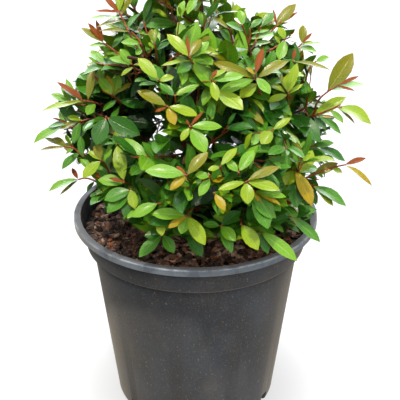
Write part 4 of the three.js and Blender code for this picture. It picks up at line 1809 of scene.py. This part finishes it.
@dataclass
class Heap:
    """Many small shapes that are joined into one piece."""

    points: list[Point] = field(default_factory=list)
    faces: list[Face] = field(default_factory=list)
    count: int = 0

    def add(self, points: Point, faces: Sequence[Face]) -> None:
        """Adds one shape.

        Args:
            points: Its points in millimetres.
            faces: The corners of each of its faces.
        """
        self.points.append(points)
        self.faces.extend(tuple(corner + self.count for corner in face) for face in faces)
        self.count += len(points)

    def piece(self, name: str) -> Piece:
        """The shapes as one piece."""
        return piece_from_arrays(name, np.vstack(self.points), self.faces)


def add_relief(piece: Piece, grain: float, detail: int, height: float, level: float) -> bpy.types.Modifier:
    """Adds a cloudy relief to a piece, as a modifier that is still to be applied.

    Args:
        piece: The piece.
        grain: How large its lumps are, in metres.
        detail: How many finer layers the lumps have.
        height: How high the relief is, in metres.
        level: The share of that height that stays in place.

    Returns:
        The modifier.
    """
    clouds = bpy.data.textures.new(f"{piece.name}_relief", "CLOUDS")
    clouds.noise_scale = grain
    clouds.noise_depth = detail
    relief = piece.modifiers.new("relief", "DISPLACE")
    relief.texture = clouds
    relief.texture_coords = "LOCAL"
    relief.strength = height
    relief.mid_level = level
    return relief


def finish_piece(piece: Piece, material: Material, nodes: Sequence[str]) -> None:
    """Gives a piece its material and its place in the part.

    Args:
        piece: The piece.
        material: Its material.
        nodes: The solids that it stands for.
    """
    piece.data.materials.clear()
    piece.data.materials.append(material)
    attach(piece, BODY)
    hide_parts(*nodes)
    LOG.info("%s: %d faces", piece.name, len(piece.data.polygons))


@dataclass
class NurseryPot:
    """The round pot: a tapered wall under a collar and a flat lip, with slots at its foot."""

    height: float = 215.0
    wall: float = 2.3
    floor: float = 3.0
    foot_radius: float = 79.0
    foot_round: float = 8.0
    base_radius: float = 86.0
    wall_top_radius: float = 107.0
    collar_radius: float = 113.0
    collar_depth: float = 31.5
    lip_under_radius: float = 118.6
    lip_radius: float = 125.0
    lip_width: float = 6.8
    lip_height: float = 7.0
    lip_round: float = 0.9
    sides: int = 160
    slots: int = 10
    slot_turn: float = -30.5
    slot_size: Triple = (32.0, 11.0, 26.0)
    slot_round: float = 0.4
    edge_round: float = 0.6
    foot_steps: int = 5
    round_steps: int = 2
    sharp_angle: float = 44.0
    smooth_angle: float = 40.0
    inward_share: float = 0.8
    finish: PotFinish = PotFinish()
    # Near-black colours for the pot's inner faces, painted shade.
    inside_shade: ChipFinish = ChipFinish("1c1c1f", "101013", 0.0)

    def inner_profile(self) -> list[Span]:
        """The inside of the wall, from the floor to the lip.

        Returns:
            Each ring's radius and height.
        """
        ledge = self.height - self.collar_depth - self.wall
        return [
            (self.foot_radius - self.wall, self.floor),
            (self.base_radius - self.wall, self.floor + self.foot_round),
            (self.wall_top_radius - self.wall, ledge),
            (self.collar_radius - self.wall, ledge + self.wall),
            (self.lip_radius - self.lip_width - self.wall / 2, self.height - self.lip_height),
            (self.lip_radius - self.lip_width, self.height),
        ]

    def outer_profile(self) -> list[Span]:
        """The outside of the pot, from its underside to the lip.

        Returns:
            Each ring's radius and height.
        """
        corners = ((self.foot_radius, 0), (self.base_radius, 0), (self.base_radius, self.foot_round))
        foot = Curve(tuple(np.array(corner, float) for corner in corners))
        collar_bottom = self.height - self.collar_depth
        lip_bottom = self.height - self.lip_height
        return [
            *(tuple(point) for point in foot.points(self.foot_steps)),
            (self.wall_top_radius, collar_bottom),
            (self.collar_radius, collar_bottom),
            (self.lip_under_radius, lip_bottom),
            (self.lip_radius, lip_bottom),
            (self.lip_radius, self.height - self.lip_round),
            (self.lip_radius - self.lip_round, self.height),
        ]

    def _cut_slots(self, pot: Piece) -> None:
        """Cuts the drain slots through the corner of the foot.

        Args:
            pot: The pot.
        """
        select_only()
        for i in range(self.slots):
            turn = math.radians(self.slot_turn + 360 / self.slots * i)
            place = (self.base_radius * MM * math.cos(turn), self.base_radius * MM * math.sin(turn), 0)
            bpy.ops.mesh.primitive_cube_add(size=1, location=place, rotation=(0, 0, turn))
            cutter = bpy.context.object
            cutter.scale = [side * MM for side in self.slot_size]
            bpy.ops.object.transform_apply(location=True, rotation=True, scale=True)
            cut = pot.modifiers.new("slot", "BOOLEAN")
            cut.operation = "DIFFERENCE"
            cut.solver = "EXACT"
            cut.object = cutter
            apply_modifiers(pot)
            bpy.data.objects.remove(cutter)

    def build(self) -> None:
        """Models the pot and dresses it."""
        profile = soften([*self.outer_profile(), *reversed(self.inner_profile())], self.edge_round)
        pot = draw_up("nursery_pot", profile, self.sides)
        self._cut_slots(pot)
        edges = pot.modifiers.new("edges", "BEVEL")
        edges.width = self.slot_round * MM
        edges.segments = self.round_steps
        edges.limit_method = "ANGLE"
        edges.angle_limit = math.radians(self.sharp_angle)
        apply_modifiers(pot)
        smooth(pot, self.smooth_angle)
        finish_piece(pot, self.finish.material("dusty_charcoal"), ["pot"])
        self._shade_inside(pot)

    def _shade_inside(self, pot: Piece) -> None:
        """Gives the faces that look in at the pot's axis a near-black material, painted shade inside the
        pot.

        Args:
            pot: The pot.
        """
        pot.data.materials.append(self.inside_shade.material("shaded_charcoal"))
        for face in pot.data.polygons:
            out = face.normal.x * face.center.x + face.normal.y * face.center.y
            face.material_index = int(-out > self.inward_share * math.hypot(face.center.x, face.center.y))


@dataclass
class PottingMix:
    """The potting mix: a lumpy bed that fills the pot, and bark chips lying on it."""

    pot: NurseryPot
    edge_height: float = 197.0
    flat_radius: float = 24.0
    sides: int = 96
    rings: int = 10
    centre_radius: float = 6.0
    rim_gap: float = 1.0
    surface_above: float = 150.0
    lump_grain: float = 12.0
    lump_detail: int = 3
    lump_height: float = 5.0
    lump_level: float = 0.6
    smooth_angle: float = 50.0
    chips: int = 3900
    chip_kinds: int = 12
    chip_sides: int = 5
    chip_rings: Span = (-0.3, 0.3)
    chip_turn: Span = (-0.3, 0.3)
    chip_round: Span = (0.375, 0.55)
    chip_play: Span = (-0.1, 0.1)
    chip_length: Span = (3.5, 13.0)
    chip_power: float = 1.8
    chip_width: Span = (0.45, 0.8)
    chip_thickness: Span = (0.2, 0.42)
    chip_rise: Span = (-0.8, 4.4)
    chip_pitch: Span = (-0.22, 0.22)
    chip_tip: float = 0.55
    chip_inside: float = 0.4
    chip_over: float = 2.0
    chip_reach: float = 111.0
    stem_room: float = 13.0
    seed: int = 7
    finishes: tuple[ChipFinish, ...] = (
        ChipFinish("5c463a", "261b15", 0.4),
        ChipFinish("94705a", "4e362a", 0.3),
        ChipFinish("c8825a", "7a4a2e", 0.16),
        ChipFinish("dcb89c", "967864", 0.14),
    )
    bed_finish: ChipFinish = ChipFinish("261c16", "0e0907", 0.0)

    def height_at(self, radius: float) -> float:
        """The height of the bed's middle level at a radius."""
        share = min(1.0, max(0.0, (radius - self.flat_radius) / (self.chip_reach - self.flat_radius)))
        return mix(SOIL_TOP, self.edge_height, share)

    def build_bed(self) -> None:
        """Models the bed, with its top raised in lumps."""
        inner = self.pot.inner_profile()
        low, high = inner[3:5]
        edge = mix(low[0], high[0], (self.edge_height - low[1]) / (high[1] - low[1]))
        side = [*inner[:4], (edge, self.edge_height)]
        seated = [(radius - SEAT_GAP, height + SEAT_GAP) for radius, height in side]
        rim = seated[-1][0]
        radii = [mix(rim, self.centre_radius, i / self.rings) for i in range(1, self.rings + 1)]
        top = [(radius, self.height_at(radius)) for radius in radii]
        bed = draw_up("potting_bed", [*seated, *top], self.sides)
        surface = bed.vertex_groups.new(name="surface")
        reach, low = (rim - self.rim_gap) * MM, self.surface_above * MM
        places = [(point.index, point.co) for point in bed.data.vertices]
        inside = [index for index, co in places if math.hypot(co.x, co.y) < reach and co.z > low]
        surface.add(inside, 1.0, "REPLACE")
        height = self.lump_height * MM
        relief = add_relief(bed, self.lump_grain * MM, self.lump_detail, height, self.lump_level)
        relief.direction = "Z"
        relief.vertex_group = surface.name
        apply_modifiers(bed)
        smooth(bed, self.smooth_angle)
        finish_piece(bed, self.bed_finish.material("moist_bed"), ["potting_mix"])

    def _chip_shape(self, stream: SeededStream) -> tuple[Point, list[Face]]:
        """Makes one irregular chip about as long as one, from two uneven rings and two ends.

        Args:
            stream: Where its play comes from.

        Returns:
            The chip's points and faces.
        """
        rings = self.chip_sides
        points = [np.array((-0.5, stream.between(*self.chip_play), stream.between(*self.chip_play)))]
        for along in self.chip_rings:
            for i in range(rings):
                turn = math.tau * (i + stream.between(*self.chip_turn)) / rings
                reach = stream.between(*self.chip_round)
                place = along + stream.between(*self.chip_play)
                points.append(np.array((place, reach * math.cos(turn), reach * math.sin(turn))))
        points.append(np.array((0.5, stream.between(*self.chip_play), stream.between(*self.chip_play))))
        faces = []
        last = 2 * rings + 1
        for i in range(rings):
            a, b = 1 + i, 1 + (i + 1) % rings
            c, d = a + rings, b + rings
            faces += [(0, b, a), (a, b, c), (b, d, c), (c, d, last)]
        return np.array(points), faces

    def _lie(self, stream: SeededStream) -> Point:
        """Finds how a chip lies: turned any way, and tipped a little.

        Args:
            stream: Where its play comes from.

        Returns:
            The chip's own directions, one to a column.
        """
        ahead = unit(np.array((stream() - 0.5, stream() - 0.5, stream.between(*self.chip_pitch))))
        over = unit(UP + stream.play(self.chip_tip))
        third = unit(np.cross(over, ahead))
        return np.column_stack((ahead, third, np.cross(ahead, third)))

    def build_chips(self) -> None:
        """Scatters the bark chips over the bed, one piece for each colour."""
        stream = SeededStream(self.seed)
        shapes = [self._chip_shape(stream) for _ in range(self.chip_kinds)]
        heaps = [Heap() for _ in self.finishes]
        shares = [(heap, finish.share) for heap, finish in zip(heaps, self.finishes)]
        for i in range(self.chips):
            radius = self.chip_reach * math.sqrt(stream())
            turn = stream.between(0, math.tau)
            length = mix(*self.chip_length, stream() ** self.chip_power)
            past_edge = radius + length * self.chip_inside > self.chip_reach + self.chip_over
            if radius < self.stem_room or past_edge:
                continue
            points, faces = shapes[i % len(shapes)]
            wide, thick = stream.between(*self.chip_width), stream.between(*self.chip_thickness)
            size = np.array((length, length * wide, length * thick))
            lie = self._lie(stream)
            centre = np.array((radius * math.cos(turn), radius * math.sin(turn), self.height_at(radius)))
            centre[2] += stream.between(*self.chip_rise)
            stream.pick(shares).add(points * size @ lie.T + centre, faces)
        for number, (finish, heap) in enumerate(zip(self.finishes, heaps), 1):
            piece, material = heap.piece(f"bark_chips_{number}"), finish.material(f"chip_{number}")
            finish_piece(piece, material, ["potting_mix"])


@dataclass
class WoodyLimbs:
    """The stem and boughs, with the relief of their bark."""

    limbs: Limbs
    stem_finish: WoodFinish = WoodFinish("7a6350", "3b2a20", 0.85, 180.0, 0.0008)
    bough_finish: WoodFinish = WoodFinish("84583f", "40261a", 0.8, 260.0, 0.0005)
    stem_steps: tuple[int, int] = (15, 8)
    bough_steps: tuple[int, int] = (5, 5)
    curve_steps: int = 8
    stem_relief: Span = (0.004, 0.0022)
    bough_relief: Span = (0.003, 0.0011)
    relief_layers: tuple[Span, ...] = ((1.0, 1.0), (0.35, 0.5))
    relief_detail: int = 2
    relief_level: float = 0.55
    smooth_angle: float = 60.0

    def _limb(
        self, name: str, curve: Curve, radius_at: Callable[[float], float], cuts: int, round_steps: int
    ) -> Piece:
        """Models one tapering limb along a curve.

        Args:
            name: The limb's name.
            curve: Its centre line.
            radius_at: Its radius a share of the way along.
            cuts: How many places between its ends have a radius of their own.
            round_steps: How finely it is rounded.

        Returns:
            The limb as a closed mesh.
        """
        select_only()
        bpy.ops.curve.primitive_bezier_curve_add(location=(0, 0, 0))
        piece = bpy.context.object
        piece.name = name
        corners = [corner * MM for corner in curve.corners]
        if len(corners) == 3:
            start, bend, end = corners
            corners = [start, start + (bend - start) * 2 / 3, end + (bend - end) * 2 / 3, end]
        first, last = piece.data.splines[0].bezier_points
        for knot, order in ((first, (0, 0, 1)), (last, (2, 3, 3))):
            knot.handle_left_type = knot.handle_right_type = "FREE"
            knot.handle_left, knot.co, knot.handle_right = (corners[i] for i in order)
        bpy.ops.object.mode_set(mode="EDIT")
        bpy.ops.curve.select_all(action="SELECT")
        bpy.ops.curve.subdivide(number_cuts=cuts)
        bpy.ops.object.mode_set(mode="OBJECT")
        knots = piece.data.splines[0].bezier_points
        for i, knot in enumerate(knots):
            knot.radius = radius_at(i / (len(knots) - 1))
        piece.data.dimensions = "3D"
        piece.data.bevel_depth = MM
        piece.data.bevel_resolution = round_steps
        piece.data.resolution_u = self.curve_steps
        piece.data.use_fill_caps = True
        bpy.ops.object.convert(target="MESH")
        return bpy.context.object

    def _raise_bark(self, piece: Piece, grain: float, height: float) -> None:
        """Raises the relief of the bark on a limb.

        Args:
            piece: The limb.
            grain: How large the relief is, in metres.
            height: How high it is, in metres.
        """
        for finer, share in self.relief_layers:
            add_relief(piece, grain * finer, self.relief_detail, height * share, self.relief_level)
        apply_modifiers(piece)
        smooth(piece, self.smooth_angle)

    def build(self) -> None:
        """Models the stem, then the boughs as one piece, and dresses them."""
        stem = self._limb("woody_stem", self.limbs.stem, self.limbs.stem_radius, *self.stem_steps)
        self._raise_bark(stem, *self.stem_relief)
        finish_piece(stem, self.stem_finish.material("stem_bark"), ["stem"])
        parts = [
            self._limb(f"limb_{number}", curve, self.limbs.bough_radius, *self.bough_steps)
            for number, curve in enumerate(self.limbs.boughs)
        ]
        select_only(*parts)
        bpy.ops.object.join()
        boughs = bpy.context.object
        boughs.name = boughs.data.name = "woody_boughs"
        self._raise_bark(boughs, *self.bough_relief)
        nodes = [f"bough_{tier}_{i}" for tier in ("skirt", "shoulder", "dome") for i in range(1, 5)]
        finish_piece(boughs, self.bough_finish.material("bough_bark"), nodes)


@dataclass
class Foliage:
    """The twigs and leaves as joined pieces, one for each colour."""

    growth: Growth
    nodes: Sequence[str]
    stations: tuple[float, ...] = (0, 0.06, 0.15, 0.3, 0.47, 0.64, 0.8, 0.92, 1.0)
    half_widths: tuple[float, ...] = (0.06, 0.07, 0.38, 0.78, 0.98, 1.0, 0.76, 0.36, 0.04)
    columns: tuple[float, ...] = (-1.0, -0.5, 0.0, 0.5, 1.0)
    wave_count: float = 9.0
    wave_height: float = 0.1
    wave_phase: float = 2.4
    fold_power: float = 1.4
    twig_sides: int = 6
    twig_side: Triple = (0.31, 0.87, 0.39)
    twig_angle: float = 70.0
    young_finish: WoodFinish = WoodFinish("ae5a32", "7c3c20", 0.5, 300.0, 0.0002)
    old_finish: WoodFinish = WoodFinish("74452f", "42261b", 0.7, 320.0, 0.0003)

    def _tube(self, twig: Twig) -> tuple[Point, list[Face]]:
        """Makes a twig: a thin tapering tube with closed ends.

        Args:
            twig: The twig.

        Returns:
            The tube's points and faces.
        """
        path, sides = twig.path, self.twig_sides
        tangents = np.gradient(path, axis=0)
        level = unit(np.cross(unit(tangents[0]), np.array(self.twig_side)))
        turns = np.linspace(0, math.tau, sides, endpoint=False)
        rings = []
        for i, (centre, tangent) in enumerate(zip(path, tangents)):
            tangent = unit(tangent)
            level = unit(level - tangent * np.dot(level, tangent))
            third = np.cross(tangent, level)
            radius = mix(twig.thick, twig.thin, i / (len(path) - 1))
            ring = np.outer(np.cos(turns), level) + np.outer(np.sin(turns), third)
            rings.append(centre + radius * ring)
        faces: list[Face] = [tuple(reversed(range(sides)))]
        for ring in range(len(path) - 1):
            base = ring * sides
            for i in range(sides):
                j = (i + 1) % sides
                faces.append((base + i, base + j, base + sides + j, base + sides + i))
        top = (len(path) - 1) * sides
        faces.append(tuple(range(top, top + sides)))
        return np.vstack(rings), faces

    def _build_twigs(self, young: bool, finish: WoodFinish) -> None:
        """Joins all the young or all the older twigs into one piece.

        Args:
            young: Whether it is the young ones.
            finish: Their bark.
        """
        heap = Heap()
        for twig in self.growth.twigs:
            if twig.young == young:
                heap.add(*self._tube(twig))
        name = "young_twigs" if young else "older_twigs"
        piece = heap.piece(name)
        smooth(piece, self.twig_angle)
        finish_piece(piece, finish.material(f"{name}_bark"), self.nodes)

    def _build_leaves(self, kind: LeafKind) -> None:
        """Joins all the leaves of one colour into one piece, each curled and folded in its own way.

        Args:
            kind: The colour.
        """
        leaves = [leaf for leaf in self.growth.leaves if leaf.kind is kind]
        keys = ("root", "along", "face", "length", "width", "curl", "fold")
        values = (np.array([getattr(leaf, key) for leaf in leaves]) for key in keys)
        root, along, face, length, width, curl, fold = values
        across = np.cross(along, face)
        share, half = np.array(self.stations), np.array(self.half_widths)
        column = np.array(self.columns)
        bend = np.maximum(curl, LEAST_CURL)[:, None]
        turn = bend * share
        reach = (np.sin(turn) / bend * length[:, None])[..., None]
        drop = ((1 - np.cos(turn)) / bend * length[:, None])[..., None]
        centre = root[:, None] + along[:, None] * reach - face[:, None] * drop
        normal = face[:, None] * np.cos(turn)[..., None] + along[:, None] * np.sin(turn)[..., None]
        halves = (length * width / 2)[:, None] * half
        phase = np.arange(len(leaves))[:, None] * self.wave_phase
        wave = self.wave_height * np.sin(share * self.wave_count + phase)
        out = halves[..., None] * column
        steep = fold[:, None, None] + wave[..., None]
        rise = halves[..., None] * np.abs(column) ** self.fold_power * steep
        points = centre[:, :, None] + across[:, None, None] * out[..., None]
        points = points + normal[:, :, None] * rise[..., None]
        rows, cols = len(share), len(column)
        corner = np.arange(rows * cols).reshape(rows, cols)
        around = (corner[:-1, :-1], corner[:-1, 1:], corner[1:, 1:], corner[1:, :-1])
        quads = np.stack(around, axis=-1).reshape(-1, 4)
        faces = (np.arange(len(leaves))[:, None, None] * rows * cols + quads).reshape(-1, 4)
        piece = piece_from_arrays(f"leaves_{kind.value}", points.reshape(-1, 3), faces.tolist())
        place = np.stack(np.meshgrid((column + 1) / 2, share), axis=-1).reshape(-1, 2)
        leaf_map = piece.data.uv_layers.new(name=LEAF_MAP)
        leaf_map.data.foreach_set("uv", place[faces % (rows * cols)].astype(np.float32).ravel())
        smooth(piece, 180)
        finish_piece(piece, LEAF_FINISHES[kind].material(f"leaf_{kind.value}"), self.nodes)

    def build(self) -> None:
        """Builds the twigs and the leaves."""
        self._build_twigs(False, self.old_finish)
        self._build_twigs(True, self.young_finish)
        for kind in LeafKind:
            self._build_leaves(kind)


@dataclass(frozen=True)
class SoftLight:
    """A soft square light that looks at the plant; it may spare matt surfaces or glossy ones."""

    name: str
    place: Triple
    size: float
    watts: float
    tint: str
    lights: bool = True
    mirrored: bool = True
    aim: Triple = (0.0, 0.0, 0.28)

    def hang(self) -> None:
        """Hangs the light in its place."""
        aim = np.array(self.aim) - np.array(self.place)
        pitch = math.atan2(math.hypot(aim[0], aim[1]), -aim[2])
        yaw = math.atan2(aim[1], aim[0]) - math.pi / 2
        bpy.ops.object.light_add(type="AREA", location=self.place, rotation=(pitch, 0, yaw))
        light = bpy.context.object
        light.name = self.name
        light.data.size = self.size
        light.data.energy = self.watts
        light.data.color = paint(self.tint)
        light.visible_diffuse = self.lights
        light.visible_glossy = self.mirrored


@dataclass(frozen=True)
class Studio:
    """The pale floor, the soft lights and the camera."""

    view: PhotoView
    sensor: float = 36.0
    clip_start: float = 0.01
    floor_size: float = 60.0
    floor_colour: str = "606060"
    floor_roughness: float = 0.9
    sky: str = "f6f6f3"
    sky_band: Span = (-0.35, 0.6)
    sky_levels: Span = (0.05, 0.72)
    sky_gloss: float = 0.4
    lights: tuple[SoftLight, ...] = (
        SoftLight("key", (-0.34, -0.9, 2.45), 0.12, 40.0, "fff6e6"),
        SoftLight("fill", (0.3, -1.6, 1.7), 1.4, 20.0, "fffaf2", mirrored=False),
        SoftLight("side", (1.9, -1.1, 0.45), 1.0, 14.0, "fff6ea", mirrored=False),
        SoftLight("back_sheen", (0.2, 2.2, 1.7), 3.6, 330.0, "f2f7ff", lights=False),
    )
    # The painted shadow round the pot's foot: the radii where the floor's glow rises, and its glow at the
    # foot and far off.
    foot_shade: Span = (0.084, 0.165)
    floor_glow: Span = (0.66, 0.96)

    def _camera(self) -> None:
        """Sets the camera where the picture is taken from."""
        view = self.view
        turn = math.pi / 2 - math.radians(view.elevation)
        bpy.ops.object.camera_add(location=view.eye * MM, rotation=(turn, 0, 0))
        camera = bpy.context.object
        camera.data.sensor_width = self.sensor
        camera.data.lens = self.sensor * view.focal_pixels / view.frame_pixels
        camera.data.shift_x = 0.5 - view.aim_pixel[0] / view.frame_pixels
        camera.data.shift_y = view.aim_pixel[1] / view.frame_pixels - 0.5
        camera.data.clip_start = self.clip_start
        bpy.context.scene.camera = camera

    def _sky(self) -> None:
        """Sets an even sky that is bright overhead and dim below."""
        sketch = NodeSketch(bpy.data.worlds.new("soft_sky"), "Background")
        direction = sketch.node("ShaderNodeTexCoord").outputs["Generated"]
        rise = sketch.node("ShaderNodeSeparateXYZ", {"Vector": direction}).outputs["Z"]
        names = ("From Min", "From Max", "To Min", "To Max")
        inputs = {"Value": rise, **dict(zip(names, (*self.sky_band, *self.sky_levels)))}
        level = sketch.node("ShaderNodeMapRange", inputs).outputs["Result"]
        mirrored = sketch.node("ShaderNodeLightPath").outputs["Is Glossy Ray"]
        gloss = sketch.sums("MULTIPLY_ADD", mirrored, self.sky_gloss, 1.0)
        sketch.set("Color", paint(self.sky))
        sketch.set("Strength", sketch.times(level, gloss))
        bpy.context.scene.world = sketch.holder

    def build(self) -> None:
        """Sets up the floor, the sky, the lights and the camera."""
        select_only()
        bpy.ops.mesh.primitive_plane_add(size=self.floor_size, location=(0, 0, 0))
        floor = bpy.context.object
        floor.name = "floor"
        sketch = NodeSketch(bpy.data.materials.new("pale_floor"))
        sketch.set("Base Color", paint(self.floor_colour))
        sketch.set("Roughness", self.floor_roughness)
        sketch.set("Emission Color", (1.0, 1.0, 1.0))
        # The floor glows evenly far off and dims towards the pot's foot, a painted contact shadow.
        ground = sketch.node("ShaderNodeVectorMath", {0: sketch.place()}, operation="LENGTH")
        glow = sketch.fade(ground.outputs["Value"], *self.foot_shade, *self.floor_glow)
        sketch.set("Emission Strength", glow)
        floor.data.materials.append(sketch.holder)
        floor.visible_diffuse = False
        floor.visible_glossy = False
        self._sky()
        bpy.context.scene.view_settings.view_transform = "Standard"
        for light in self.lights:
            light.hang()
        self._camera()


def main() -> None:
    """Builds the studio and the plant in order and logs how many twigs and leaves there are."""
    logging.basicConfig(level=logging.INFO, format="%(message)s")
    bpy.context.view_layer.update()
    view = PhotoView()
    Studio(view).build()
    pot = NurseryPot()
    pot.build()
    potting_mix = PottingMix(pot)
    potting_mix.build_bed()
    potting_mix.build_chips()
    limbs = Limbs()
    WoodyLimbs(limbs).build()
    growth = Growth(Crown(), limbs, view)
    growth.grow()
    LOG.info("%d twigs and %d leaves", len(growth.twigs), len(growth.leaves))
    foliage = sorted(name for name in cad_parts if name.startswith("foliage"))
    Foliage(growth, foliage).build()


if __name__ == "__main__":
    main()
